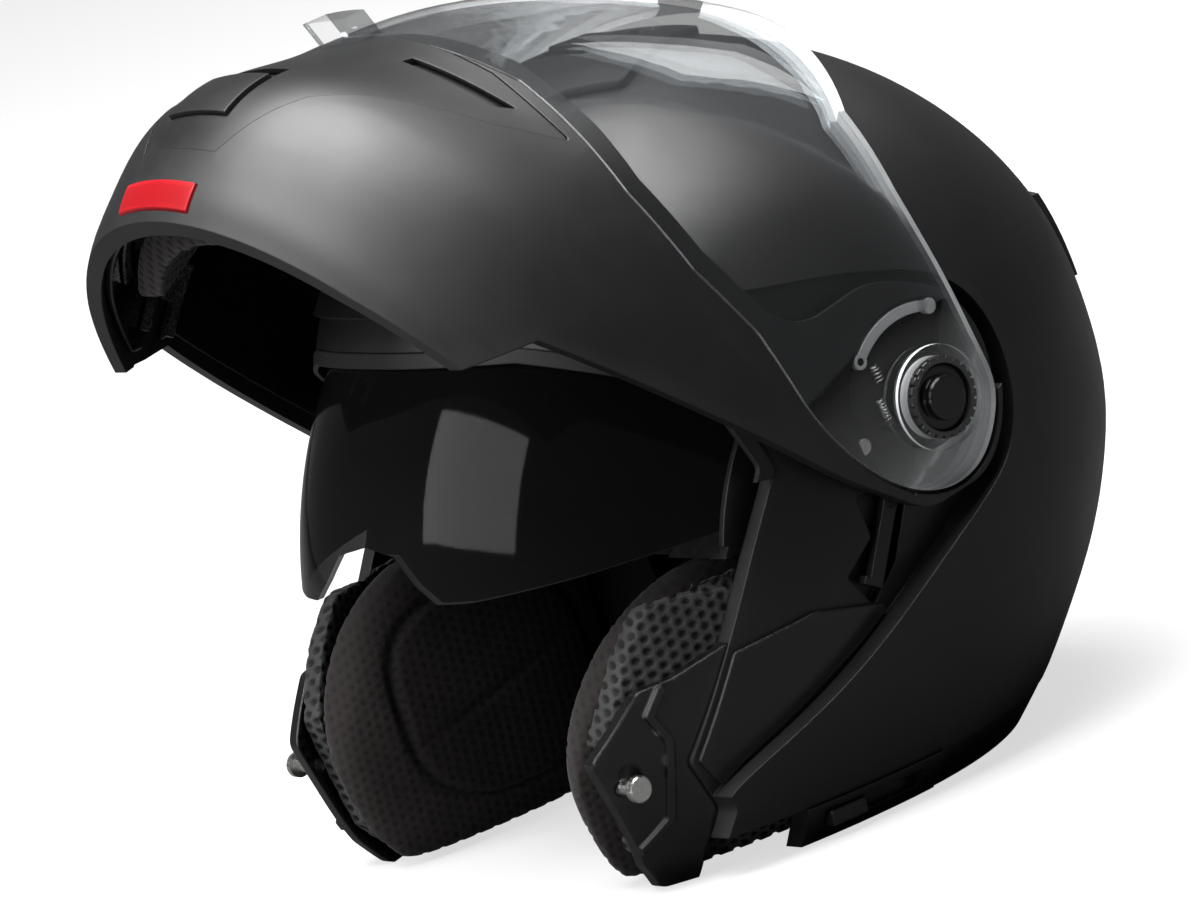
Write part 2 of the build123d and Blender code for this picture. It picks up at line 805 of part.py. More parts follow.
def pivot_ring():
    """The knurled ring in the visor's bore, round the cap."""
    ring = rod(0, 0, ring_radius, washer_x, ring_x) - rod(0, 0, ring_bore, 0, reach)
    tooth = slab(collar_x + layer_gap, reach, ring_radius - tooth_depth, ring_radius + tooth_depth,
                 -tooth_depth / 2, tooth_depth / 2)
    turns = range(ring_teeth)
    return largest(ring - [tooth.rotate(Axis.X, 360 * step / ring_teeth) for step in turns])


# Detent levers

def detent_lever():
    """The sprung lever that holds the raised arm."""
    lever = rod(detent_y, detent_z, detent_width / 2 + seat_gap, detent_x, detent_x + detent_wall)
    along = spoke(detent_turn, 1)
    frame = Plane(origin=(detent_x, detent_y, detent_z), x_dir=along, z_dir=(1, 0, 0))
    strip = Pos(detent_length / 2, 0, detent_wall / 2) * Box(detent_length, detent_width, detent_wall)
    foot_wall = detent_width / 2
    foot = Box(foot_wall, detent_hook, detent_wall)
    hook = Pos(detent_length + foot_wall / 2, -(detent_hook - detent_width) / 2, detent_wall / 2) * foot
    lever = lever.fuse(*(frame * strip).solids(), *(frame * hook).solids())
    return largest(lever - rod(detent_y, detent_z, detent_pin + run_gap, 0, reach))


# Sun visor

def sun_visor_lens():
    """The dark inner visor: one bowed sheet with a notch for the nose."""
    outer = sun_profile(sun_radius, sun_half, sun_edge)
    inner = sun_profile(sun_radius - lens_wall, sun_half - lens_wall, sun_edge)
    edges = [Edge.make_spline(outer), Edge.make_line(outer[-1], inner[-1]),
             Edge.make_spline(list(reversed(inner))), Edge.make_line(inner[0], outer[0])]
    lens = turned(Face(Wire(edges)), sun_top_turn, sun_low_turn)
    mirrored_shares = tuple((-along, up) for along, up in reversed(sun_low_shares[1:]))
    low_edge = front_prism(mirrored_shares + sun_low_shares + ((1, -1), (-1, -1)), lens_wall)
    return largest(lens - low_edge)


def sun_visor_arm():
    """The flat arm from the pivot to the sun visor's edge."""
    low = Vector(0, sun_pivot_back, -sun_pivot_drop)
    middle = (sun_arm_top + sun_arm_turn) / 2
    rim = Edge.make_three_point_arc(low + spoke(sun_arm_top, arm_reach), low + spoke(middle, arm_reach),
                                    low + spoke(sun_arm_turn, arm_reach))
    edges = [rim, Edge.make_line(rim @ 1, low), Edge.make_line(low, rim @ 0)]
    arm = prism(Face(Wire(edges)), sun_edge, sun_edge + arm_wall)
    arm = arm.fuse(rod(low.Y, low.Z, arm_hub, sun_edge, sun_edge + arm_wall))
    return largest(arm - rod(low.Y, low.Z, sun_pin + run_gap, 0, reach))


def sun_visor_pin():
    """The headed pin that carries an arm of the sun visor."""
    head = rod(sun_pivot_back, -sun_pivot_drop, sun_pin_head, sun_edge - seat_gap - sun_pin_lip,
               sun_edge - seat_gap)
    return rod(sun_pivot_back, -sun_pivot_drop, sun_pin, sun_edge - seat_gap, sun_pin_end).fuse(head)


def slider_space(front, length, side_gap, floor_x):
    """The slider's block on the rim, or its slot with some room."""
    middle = (track_height - 2 * rim_drop) / 2
    half = slider_height / 2 + side_gap
    return slab(floor_x, slider_x, -front, length - front, middle - half, middle + half)


def sun_slider_track():
    """The housing of the sun visor's slider, let into the rim trim."""
    space = slab(0, reach, seat_gap - track_front, -track_back - seat_gap, -rim_drop,
                 track_height - trim_inset - rim_drop)
    track = (shell_body(-track_proud, -track_proud, 0, 0) & space)
    track -= shell_body(track_wall, track_wall, track_wall, 0)
    slot_length = slider_length + slider_travel + 2 * travel_gap
    track -= slider_space(slot_front + travel_gap, slot_length, seat_gap, slot_floor_x)
    return largest(track - outer_shell_foot())


def outer_shell_foot():
    """The shell's lower edge, which the slider's housing stops under."""
    return slab(0, reach, -track_front, -track_back, trim_height - seat_gap - rim_drop, 0)


def sun_slider():
    """The slider that draws the sun visor up."""
    slider = slider_space(slot_front, slider_length, 0, slot_floor_x + seat_gap)
    return largest(slider.solid().fillet(slider_round, slider.faces().sort_by(Axis.X)[-1].edges()))


# Vents on the crown and the back

def crown_vent_base():
    """The low vent on the crown, with a flat bed for its slider."""
    lift = -crown_vent_proud
    base = (shell_body(lift, lift, lift, lift) & plan_prism(crown_vent_shares, opening_radius))
    base -= shell_body(-bed_gap, -bed_gap, -bed_gap, -bed_gap)
    bed = slab(-crown_slider_half - layer_gap, crown_slider_half + layer_gap,
               -crown_slider_front - crown_slider_travel - layer_gap, crown_slider_back + layer_gap,
               crown_rise + crown_vent_floor, crown_rise + overrun)
    return largest(base - bed)


def crown_vent_slider():
    """The slider that shuts the crown vent."""
    low = crown_rise + crown_vent_floor + seat_gap
    slider = slab(-crown_slider_half, crown_slider_half, -crown_slider_front, crown_slider_back, low,
                  low + crown_slider_wall)
    return slider.solid().chamfer(layer_gap, None, slider.faces().sort_by(Axis.Z)[-1].edges())


def rear_spoiler():
    """The exhaust vent proud of the back."""
    space = prism(rounded(side_points(spoiler_shares), opening_radius), -spoiler_half, spoiler_half)
    spoiler = (shell_body(0, 0, -spoiler_proud, 0) & space)
    spoiler -= shell_body(-bed_gap, -bed_gap, -bed_gap, -bed_gap)
    low = spoiler_shares[-2][1] * crown_rise + exhaust_height
    slot = slab(-exhaust_half, exhaust_half, nape_reach + exhaust_floor, nape_reach + overrun, low,
                low + exhaust_height)
    return largest(spoiler - slot)


# Chin strap

def strap():
    """Half of the chin strap, from beside the liner to the buckle."""
    path = FilletPolyline((strap_x, strap_y, -strap_top), (strap_x, strap_y, -strap_knee_drop),
                          (strap_run_x, strap_y, -strap_run_drop),
                          (buckle_half, strap_y, -strap_run_drop), radius=strap_bend)
    start = Plane(origin=path @ 0, x_dir=(1, 0, 0), z_dir=path % 0)
    return sweep(start * Rectangle(strap_wall, strap_width), path).solid()


def strap_buckle():
    """The buckle between the halves of the strap, with ears and a pin for its lever."""
    half = strap_width / 2 + buckle_margin
    top = buckle_height / 2 - strap_run_drop
    body = slab(-buckle_half, buckle_half, strap_y - half, strap_y + half, top - buckle_height, top)
    body = body.solid().fillet(buckle_pin, body.edges().filter_by(Axis.Z))
    ear_x = buckle_half - 2 * buckle_ear
    ears = []
    for start in (strap_y - half, strap_y + half - buckle_ear):
        ears.append(slab(ear_x - buckle_ear, ear_x + buckle_ear, start, start + buckle_ear, top,
                         top + 2 * buckle_ear))
    pin = Plane(origin=(ear_x, strap_y - half, top + buckle_ear), z_dir=(0, 1, 0))
    bar = Solid.make_cylinder(buckle_pin, 2 * half, pin)
    return largest(body.fuse(*[ear.solid() for ear in ears], bar))


def buckle_lever():
    """The lever that frees the buckle, on its pin."""
    half = strap_width / 2 + buckle_margin - buckle_ear - seat_gap
    top = buckle_height / 2 - strap_run_drop
    ear_x = buckle_half - 2 * buckle_ear
    place = Plane(origin=(ear_x, strap_y - half, top + buckle_ear), z_dir=(0, 1, 0))
    barrel = Solid.make_cylinder(buckle_ear - seat_gap, 2 * half, place)
    plate = slab(buckle_ear - buckle_half, ear_x, strap_y - half, strap_y + half, top + seat_gap,
                 top + seat_gap + buckle_lever_wall)
    bore = Solid.make_cylinder(buckle_pin + run_gap, 2 * half, place)
    return largest(barrel.fuse(plate.solid()) - bore)


# Chin bar

def lever_lug(turn):
    """The centre of a lug on a visor release lever."""
    return spoke(turn, (lever_inner + lever_outer) / 2)


def lock_groove(gap):
    """The path that the lock pin takes in the shut chin bar, seen from the side."""
    half = lock_head_radius + gap
    start = lock_turn - math.degrees(half / lock_arc)
    return band(start, hook_end_turn + chin_raise / 3, lock_arc - half, lock_arc + half)


def panel_space():
    """The room for the vent panel in the chin bar's front."""
    return front_prism(vent_panel_shares, panel_wall / 2) - face_body(panel_inset + panel_wall + layer_gap)


def button_block(gap, back):
    """The release button's block, or its window."""
    half = button_width / 2 + gap
    return slab(-half, half, -front_reach, back, -button_drop - button_height / 2 - gap,
                -button_drop + button_height / 2 + gap)


def spring_seats(start, end):
    """Two small blocks that a lever spring stands between."""
    along = (end - start).normalized()
    blocks = []
    for place in (start - along * (spring_seat / 2), end + along * (spring_seat / 2)):
        origin = place + Vector((lever_floor_x + arm_face_x) / 2, 0, 0)
        frame = Plane(origin=origin, x_dir=along, z_dir=(1, 0, 0))
        height = arm_face_x - lever_floor_x - seat_gap * 2
        blocks.append((frame * Box(spring_seat, 3 * coil_radius, height)).solid())
    return blocks


def chin_shell():
    """The chin bar: jaw, two arms, a boss round each pivot and a pocket for the visor's levers."""
    side = across(outline(arm_back_shares, chin_bottom_shares + chin_top_shares))
    bar = (face_body(0) & side) - face_body(chin_wall)
    boss = rod(0, 0, boss_radius, arm_x, arm_face_x - seat_gap) & side
    bar = bar.fuse(*boss.solids(), *mirrored(boss).solids())
    bed = outline(visor_back_shares[:-3], visor_bed_shares + visor_bottom_shares, visor_gap)
    bar -= across(bed) - face_body(visor_inset + visor_wall + visor_gap)
    bar -= panel_space()
    bar -= button_block(seat_gap * 2, -button_depth)
    pocket = prism(band(pocket_start_turn, pocket_end_turn, post_radius, lever_outer + pocket_gap),
                   lever_floor_x, reach)
    bore = rod(0, 0, hub_radius + run_gap, 0, reach)
    small = spoke(small_screw_turn, (lever_inner + lever_outer) / 2)
    hole = rod(small.Y, small.Z, small_screw_radius, arm_x, reach)
    groove = prism(lock_groove(travel_gap), 0, lock_x + travel_gap)
    bar = largest(bar - both(pocket) - both(bore) - both(hole) - both(groove))
    lug = lever_lug(lever_end_turn)
    added = [rod(lug.Y, lug.Z, lug_pin, lever_floor_x - seat_gap, lever_floor_x + lever_wall + layer_gap)]
    for start, end in spring_places():
        added += spring_seats(start, end)
    return largest(bar.fuse(*added, *[mirrored(piece) for piece in added]))


def chin_lining():
    """The thin lining inside the chin bar, open where the lock pins pass."""
    space = across(rounded(side_points(chin_lining_shares), panel_wall))
    lining = (face_body(lining_inset) & space) - face_body(lining_inset + lining_wall)
    lining -= both(rod(0, 0, boss_radius + layer_gap, 0, reach))
    lining -= button_block(button_lip + travel_gap, -front_reach + face_reach)
    return largest(lining - across(lock_groove(travel_gap)))


def chin_impact_liner():
    """The foam at the front of the chin bar."""
    foam = face_body(foam_inset) & across(rounded(side_points(chin_foam_shares), opening_radius))
    return largest(foam - face_body(foam_inset + chin_foam_wall))


def breath_pad():
    """The soft pad over the foam, in front of the mouth."""
    pad = face_body(breath_inset) & across(rounded(side_points(breath_shares), opening_radius))
    return largest(pad - face_body(breath_inset + breath_wall))


def vent_window(gap):
    """The vent slider's outline, or its window with room for the travel."""
    half = vent_width / 2 + gap
    travel = vent_travel if gap else 0
    return slab(-half, half, -front_reach, overrun - face_reach, -vent_top_drop - vent_height - gap,
                travel + gap - vent_top_drop)


def chin_vent_panel():
    """The vent panel let into the front of the chin bar."""
    panel = face_body(panel_inset) & front_prism(vent_panel_shares, panel_wall / 2, panel_fit_share)
    panel -= face_body(panel_inset + panel_wall)
    slots = [front_prism(vent_slot_shares, panel_inset), vent_window(layer_gap)]
    slots.append(mirrored(slots[0]))
    return largest(panel - slots)


def chin_vent_slider():
    """The shutter in the middle of the vent panel."""
    floor = panel_inset + panel_wall - layer_gap * 2
    return largest((face_body(-vent_proud) & vent_window(0)) - face_body(floor))


def release_button():
    """The button under the front of the chin bar."""
    button = face_body(-button_proud) & button_block(0, button_depth - face_reach)
    return largest(button)


def latch_link():
    """The strip that carries the button's push round to both hooks."""
    space = slab(-reach, reach, -front_reach, -link_end, -link_drop - link_height, -link_drop)
    return largest((face_body(latch_inset) & space) - face_body(latch_inset + hook_wall / 2))


def latch_hook():
    """The hook round the head of the lock pin."""
    space = prism(band(hook_start_turn, hook_end_turn, lock_arc - hook_half, lock_arc + hook_half), 0, reach)
    hook = (face_body(latch_inset) & space) - face_body(latch_inset + hook_wall)
    return largest(hook - across(lock_groove(travel_gap)))


def visor_lever():
    """The curved lever under the visor's edge, with a lug at each end."""
    low = lever_floor_x + layer_gap
    lever = prism(band(lever_start_turn, lever_end_turn, lever_inner, lever_outer), low, low + lever_wall)
    first = lever_lug(lever_start_turn)
    last = lever_lug(lever_end_turn)
    lever = lever.fuse(rod(first.Y, first.Z, lug_radius, low, low + lever_wall + seat_gap),
                       rod(last.Y, last.Z, lug_radius, low, low + lever_wall))
    return largest(lever - rod(last.Y, last.Z, lug_pin + run_gap, 0, reach))


def mechanism_screw():
    """The small screw beside the lever."""
    place = spoke(small_screw_turn, (lever_inner + lever_outer) / 2)
    shank = rod(place.Y, place.Z, small_screw_radius, arm_x, lever_floor_x)
    head = rod(place.Y, place.Z, small_screw_head, lever_floor_x, lever_floor_x + small_screw_radius)
    return shank.fuse(head)


# Lever springs

def spring_places():
    """Where each lever spring starts and ends, in the plane of the coils' centres."""
    return [tuple(side_points(pair)) for pair in spring_shares]


def biarc(start, start_way, end, end_way):
    """Two arcs that leave one point and reach another in the given directions."""
    chord = end - start
    ways = start_way + end_way
    bend = 2 * (1 - start_way.dot(end_way))
    lean = chord.dot(ways)
    size = (-lean + math.sqrt(lean * lean + bend * chord.dot(chord))) / bend
    joint = (start + end + (start_way - end_way) * size) / 2
    joint_way = (end - end_way * size - start - start_way * size).normalized()
    return [Edge.make_tangent_arc(start, start_way, joint), Edge.make_tangent_arc(joint, joint_way, end)]


def coil_path(start, end, centre_x):
    """The wire of one spring: straight, a bend into the coil, the turns, and the same again."""
    lift = Vector(centre_x, 0, 0)
    along = (end - start).normalized()
    side = Vector(1, 0, 0)
    up = along.cross(side)
    stub = 2 * wire_radius
    bend = coil_radius / 2
    room = (end - start).length - 2 * stub - 2 * bend
    turns = int(room / coil_pitch)
    rise = room / turns
    knots = [(start + lift + side * coil_radius + along * stub, along)]
    for quarter in range(4 * turns + 1):
        turn = math.pi / 2 * (quarter + 1)
        away = side * math.cos(turn) + up * math.sin(turn)
        way = up * math.cos(turn) - side * math.sin(turn)
        place = start + lift + away * coil_radius + along * (stub + bend + rise * quarter / 4)
        knots.append((place, (way * (2 * math.pi * coil_radius) + along * rise).normalized()))
    away = side * -1
    knots.append((end + lift + away * coil_radius - along * stub, along))
    edges = [Edge.make_line(start + lift + side * coil_radius, knots[0][0])]
    for (place, way), (following, next_way) in zip(knots, knots[1:]):
        edges += biarc(place, way, following, next_way)
    edges.append(Edge.make_line(knots[-1][0], end + lift + away * coil_radius))
    return Wire(edges)


def least_gap(path):
    """The least gap between the turns of a wound wire, measured on points along it."""
    count = int(path.length / wire_radius)
    points = [path @ (step / count) for step in range(count + 1)]
    far = int(math.pi * coil_radius / wire_radius)
    gap = path.length
    for first in range(count + 1):
        for second in range(first + far, count + 1):
            gap = min(gap, (points[first] - points[second]).length)
    return gap - 2 * wire_radius


def lever_springs():
    """The two springs of one visor lever, each an unbroken coil of wire."""
    springs = []
    centre_x = lever_floor_x + coil_radius + 2 * wire_radius
    for start, end in spring_places():
        path = coil_path(start, end, centre_x)
        print("lever spring: least gap to itself", round(least_gap(path), 3))
        end_plane = Plane(origin=path @ 0, z_dir=path % 0)
        springs.append(sweep(end_plane * Circle(wire_radius), path).solid())
    return Compound(children=springs)


# Clear visor

def visor_lens():
    """The clear visor: one sheet with a lift tab and a raised collar round each pivot."""
    lens = (face_body(visor_inset) & across(visor_face())) - face_body(visor_inset + visor_wall)
    inner_x = arm_face_x + visor_gap + visor_wall / 3
    collar = rod(0, 0, visor_collar_radius, inner_x, collar_x)
    lens = lens.fuse(collar, mirrored(collar), visor_tab())
    return largest(lens - both(rod(0, 0, ring_radius + run_gap, 0, reach)))


def visor_tab():
    """The lift tab, outside the chin bar's upper edge."""
    half = tab_width / 2
    block = slab(-half, half, -front_reach, -face_reach / 2, -tab_drop - tab_height, -tab_drop)
    rounded_block = block.solid().fillet(tab_round, block.edges().filter_by(Axis.Y).group_by(Axis.Z)[0])
    tab = (face_body(-tab_proud) & rounded_block) - face_body(-2 * seat_gap)
    root = slab(-half, half, -front_reach, -face_reach / 2, -tab_drop - tab_root, -tab_drop)
    root = (face_body(-tab_proud / 2) & root) - face_body(visor_inset + visor_wall / 2)
    return largest(tab.fuse(*root.solids()))


# The whole helmet

def raised(shape):
    """What belongs to the chin bar, turned up from shut to its rest pose."""
    return shape.rotate(Axis.X, -chin_raise)


def paired(name, shape):
    """The same piece on both sides, each under its own name."""
    return {f"{name}_left": shape, f"{name}_right": mirrored(shape)}


def group(shape):
    """Alike pieces of both sides in one node."""
    return Compound(children=list(shape.solids()) + list(mirrored(shape).solids()))


def fixed_pieces():
    """What stays still or moves on the shell."""
    pieces = {
        "outer_shell": outer_shell(), "rim_trim": rim_trim(), "eye_port_gasket": eye_port_gasket(),
        "crown_impact_liner": crown_impact_liner(), "comfort_liner": comfort_liner(),
        "neck_roll": neck_roll(), "pivot_screws": group(pivot_screw()),
        "pivot_washers": group(pivot_washer()), "sun_visor_pins": group(sun_visor_pin()),
        "cheek_studs": group(Compound(children=cheek_studs_left())), "sun_visor_lens": sun_visor_lens(),
        "sun_slider_track": sun_slider_track(), "sun_slider": sun_slider(),
        "crown_vent_base": crown_vent_base(), "crown_vent_slider": crown_vent_slider(),
        "rear_spoiler": rear_spoiler(), "strap_buckle": strap_buckle(), "buckle_lever": buckle_lever(),
    }
    sides = {
        "side_cover": side_cover(), "jaw_plate": jaw_plate(), "lock_pin": lock_pin(),
        "cheek_impact_liner": cheek_impact_liner(), "cheek_pad": cheek_pad(),
        "cheek_collar": cheek_collar(), "pivot_base": pivot_base(), "pivot_cap": pivot_cap(),
        "detent_lever": detent_lever(), "sun_visor_arm": sun_visor_arm(), "strap": strap(),
    }
    for name, shape in sides.items():
        pieces.update(paired(name, shape))
    return pieces


def chin_pieces():
    """What swings with the chin bar, still shut."""
    pieces = {
        "chin_shell": chin_shell(), "chin_lining": chin_lining(), "chin_impact_liner": chin_impact_liner(),
        "breath_pad": breath_pad(), "chin_vent_panel": chin_vent_panel(),
        "chin_vent_slider": chin_vent_slider(), "release_button": release_button(),
        "latch_link": latch_link(), "mechanism_screws": group(mechanism_screw()),
        "visor_lens": visor_lens(),
    }
    sides = {
        "latch_hook": latch_hook(), "visor_lever": visor_lever(), "lever_springs": lever_springs(),
        "pivot_ring": pivot_ring(),
    }
    for name, shape in sides.items():
        pieces.update(paired(name, shape))
    return pieces


pieces = fixed_pieces()
for name, shape in chin_pieces().items():
    pieces[name] = raised(shape)
boxes = [shape.bounding_box() for shape in pieces.values()]
middle_y = (min(box.min.Y for box in boxes) + max(box.max.Y for box in boxes)) / 2
print("row frame is the pivot frame moved by", 0, round(-middle_y, 4), rim_drop)
os.makedirs("parts", exist_ok=True)
for name, shape in pieces.items():
    export_step(shape.moved(Location((0, -middle_y, rim_drop))), f"parts/{name}.step")
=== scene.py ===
"""A modular motorcycle helmet: chin bar raised, clear visor shut onto it, sun visor lowered.

Positions are worked out from the chin bar's pivot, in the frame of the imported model: +X is the wearer's
left, -Y is forward and +Z is up. Lengths are in millimetres where a comment says so, and in metres
elsewhere.
"""
import json
import math

import bpy
import numpy as np
from mathutils import Matrix, Vector


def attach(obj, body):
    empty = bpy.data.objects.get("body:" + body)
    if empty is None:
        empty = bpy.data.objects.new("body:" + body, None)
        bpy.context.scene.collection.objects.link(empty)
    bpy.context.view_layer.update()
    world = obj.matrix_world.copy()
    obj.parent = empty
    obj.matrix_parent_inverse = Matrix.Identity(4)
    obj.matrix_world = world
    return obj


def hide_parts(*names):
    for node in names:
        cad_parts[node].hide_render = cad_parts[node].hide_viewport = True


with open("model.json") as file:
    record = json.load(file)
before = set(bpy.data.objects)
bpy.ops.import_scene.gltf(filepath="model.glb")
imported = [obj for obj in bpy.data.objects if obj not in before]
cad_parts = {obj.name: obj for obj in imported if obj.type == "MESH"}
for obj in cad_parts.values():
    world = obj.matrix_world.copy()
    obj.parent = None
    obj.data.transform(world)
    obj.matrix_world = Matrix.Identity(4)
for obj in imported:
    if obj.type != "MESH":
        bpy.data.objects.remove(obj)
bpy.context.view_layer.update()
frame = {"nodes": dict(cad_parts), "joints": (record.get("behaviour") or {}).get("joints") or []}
nodes = frame["nodes"]
pivot = Vector(next(j for j in frame["joints"] if j["name"] == "chin_bar_hinge")["pos_m"])
MM = 0.001


def at(x, y, z):
    """A point given in millimetres from the pivot, in the row frame."""
    return pivot + Vector((x, y, z)) * MM


# Camera: angles in radians, places in millimetres from the pivot, focal length in pixels of the picture

VIEW_TURN = 0.967472965
VIEW_LIFT = 0.185039591
VIEW_ROLL = -0.252719118
VIEW_RIGHT = -30.666
VIEW_UP = -16.880
VIEW_BACK = 2303.438
FOCAL_PIXELS = 7152.183
PICTURE_WIDTH = 1200
SENSOR_WIDTH = 36
FARTHEST = 50


def make_camera():
    """The camera at the photograph's viewing angle."""
    back = Vector((math.sin(VIEW_TURN) * math.cos(VIEW_LIFT), -math.cos(VIEW_TURN) * math.cos(VIEW_LIFT),
                   math.sin(VIEW_LIFT)))
    level = Vector((math.cos(VIEW_TURN), math.sin(VIEW_TURN), 0))
    rise = back.cross(level)
    right = level * math.cos(VIEW_ROLL) + rise * math.sin(VIEW_ROLL)
    up = rise * math.cos(VIEW_ROLL) - level * math.sin(VIEW_ROLL)
    data = bpy.data.cameras.new("camera")
    data.sensor_fit = "HORIZONTAL"
    data.sensor_width = SENSOR_WIDTH
    data.lens = FOCAL_PIXELS * SENSOR_WIDTH / PICTURE_WIDTH
    data.clip_end = FARTHEST
    camera = bpy.data.objects.new("camera", data)
    matrix = Matrix((right, up, back)).transposed().to_4x4()
    matrix.translation = at(*(right * VIEW_RIGHT + up * VIEW_UP + back * VIEW_BACK))
    camera.matrix_world = matrix
    bpy.context.scene.collection.objects.link(camera)
    bpy.context.scene.camera = camera


# Lamps: place from the pivot, width, height and power

LAMPS = {
    "top": ((0.0, -0.35, 2.3), 2.2, 2.2, 215),
    "front": ((-0.35, -2.5, 1.3), 2.6, 1.3, 62),
    "low": ((0.5, -2.2, 0.0), 1.2, 0.2, 10),
    "rear": ((-0.5, 2.0, 1.9), 0.9, 0.9, 4),
}


def lamp(name, place, width, height, power):
    """A soft area lamp that faces the pivot."""
    data = bpy.data.lights.new(name, "AREA")
    data.shape = "RECTANGLE"
    data.size = width
    data.size_y = height
    data.energy = power
    light = bpy.data.objects.new(name, data)
    light.visible_camera = False
    where = pivot + Vector(place)
    facing = (pivot - where).to_track_quat("-Z", "Y").to_matrix().to_4x4()
    light.matrix_world = Matrix.Translation(where) @ facing
    bpy.context.scene.collection.objects.link(light)


# Surround: white as the camera sees it and through clear pieces, dim where it lights, some in reflections

WHITE = (1, 1, 1, 1)
WHITE_STRENGTH = 1.0
DIM = (0.93, 0.96, 1, 1)
DIM_STRENGTH = 0.09
MIRRORED_SHARE = 0.05


def seen_node(tree, path):
    """1 for what the camera sees, straight or through a clear piece."""
    seen = tree.nodes.new("ShaderNodeMath")
    seen.operation = "MAXIMUM"
    tree.links.new(path.outputs["Is Camera Ray"], seen.inputs[0])
    tree.links.new(path.outputs["Is Transmission Ray"], seen.inputs[1])
    return seen.outputs[0]


def background_node(tree, color, strength):
    """One colour of the surround."""
    node = tree.nodes.new("ShaderNodeBackground")
    node.inputs["Color"].default_value = color
    node.inputs["Strength"].default_value = strength
    return node.outputs[0]


def make_surround():
    """The white surround."""
    world = bpy.context.scene.world or bpy.data.worlds.new("surround")
    bpy.context.scene.world = world
    world.use_nodes = True
    tree = world.node_tree
    tree.nodes.clear()
    out = tree.nodes.new("ShaderNodeOutputWorld")
    path = tree.nodes.new("ShaderNodeLightPath")
    shine = tree.nodes.new("ShaderNodeMath")
    shine.operation = "MULTIPLY_ADD"
    shine.inputs[1].default_value = MIRRORED_SHARE
    shine.use_clamp = True
    tree.links.new(path.outputs["Is Glossy Ray"], shine.inputs[0])
    tree.links.new(seen_node(tree, path), shine.inputs[2])
    mix = tree.nodes.new("ShaderNodeMixShader")
    tree.links.new(shine.outputs[0], mix.inputs[0])
    tree.links.new(background_node(tree, DIM, DIM_STRENGTH), mix.inputs[1])
    tree.links.new(background_node(tree, WHITE, WHITE_STRENGTH), mix.inputs[2])
    tree.links.new(mix.outputs[0], out.inputs[0])


# Floor: it glows towards the camera so that it is white but keeps the shadow, and is dull in reflections

FLOOR_SIZE = 14
FLOOR_COLOR = (0.26, 0.26, 0.26, 1)
FLOOR_ROUGH = 0.9
FLOOR_SPECULAR = 0.1
FLOOR_GLOW = 0.66
FLOOR_DULL = (0.08, 0.08, 0.08, 1)


def make_floor():
    """The pale floor, which is part of the stage."""
    bpy.ops.mesh.primitive_plane_add(size=FLOOR_SIZE, location=(pivot.x, pivot.y, 0))
    floor = bpy.context.object
    floor.name = "floor"
    mat = bpy.data.materials.new("pale_floor")
    mat.use_nodes = True
    tree = mat.node_tree
    shader = tree.nodes["Principled BSDF"]
    shader.inputs["Base Color"].default_value = FLOOR_COLOR
    shader.inputs["Roughness"].default_value = FLOOR_ROUGH
    shader.inputs["Specular IOR Level"].default_value = FLOOR_SPECULAR
    glow = tree.nodes.new("ShaderNodeEmission")
    glow.inputs["Strength"].default_value = FLOOR_GLOW
    dull = tree.nodes.new("ShaderNodeBsdfDiffuse")
    dull.inputs["Color"].default_value = FLOOR_DULL
    total = tree.nodes.new("ShaderNodeAddShader")
    tree.links.new(shader.outputs[0], total.inputs[0])
    tree.links.new(glow.outputs[0], total.inputs[1])
    pick = tree.nodes.new("ShaderNodeMixShader")
    tree.links.new(seen_node(tree, tree.nodes.new("ShaderNodeLightPath")), pick.inputs[0])
    tree.links.new(dull.outputs[0], pick.inputs[1])
    tree.links.new(total.outputs[0], pick.inputs[2])
    tree.links.new(pick.outputs[0], tree.nodes["Material Output"].inputs[0])
    floor.data.materials.append(mat)


def make_stage():
    """A pale floor, a white surround and soft lamps."""
    make_surround()
    make_floor()
    for name, values in LAMPS.items():
        lamp(name, *values)
    bpy.context.scene.view_settings.view_transform = "Standard"


# Nodes that the materials share

COAT_ROUGH = 0.1


def shader_of(name, color, rough, metal=0.0, spec=0.5, coat=0.0, sheen=0.0):
    """A named material with its Principled shader."""
    mat = bpy.data.materials.new(name)
    mat.use_nodes = True
    shader = mat.node_tree.nodes["Principled BSDF"]
    shader.inputs["Base Color"].default_value = (*color, 1)
    shader.inputs["Roughness"].default_value = rough
    shader.inputs["Metallic"].default_value = metal
    shader.inputs["Specular IOR Level"].default_value = spec
    shader.inputs["Coat Weight"].default_value = coat
    shader.inputs["Coat Roughness"].default_value = COAT_ROUGH
    shader.inputs["Sheen Weight"].default_value = sheen
    return mat, mat.node_tree, shader


def place_node(tree):
    """Object coordinates in metres."""
    return tree.nodes.new("ShaderNodeTexCoord").outputs["Object"]


def noise_node(tree, scale, detail=3.0, rough=0.5):
    """Noise of about 1/scale metres."""
    tex = tree.nodes.new("ShaderNodeTexNoise")
    tex.inputs["Scale"].default_value = scale
    tex.inputs["Detail"].default_value = detail
    tex.inputs["Roughness"].default_value = rough
    tree.links.new(place_node(tree), tex.inputs["Vector"])
    return tex.outputs["Fac"]


def ramp_node(tree, source, low, high, low_at=0.3, high_at=0.7):
    """Two colours between two values of a factor."""
    ramp = tree.nodes.new("ShaderNodeValToRGB")
    ramp.color_ramp.elements[0].position = low_at
    ramp.color_ramp.elements[1].position = high_at
    ramp.color_ramp.elements[0].color = (*low, 1)
    ramp.color_ramp.elements[1].color = (*high, 1)
    tree.links.new(source, ramp.inputs[0])
    return ramp.outputs[0]


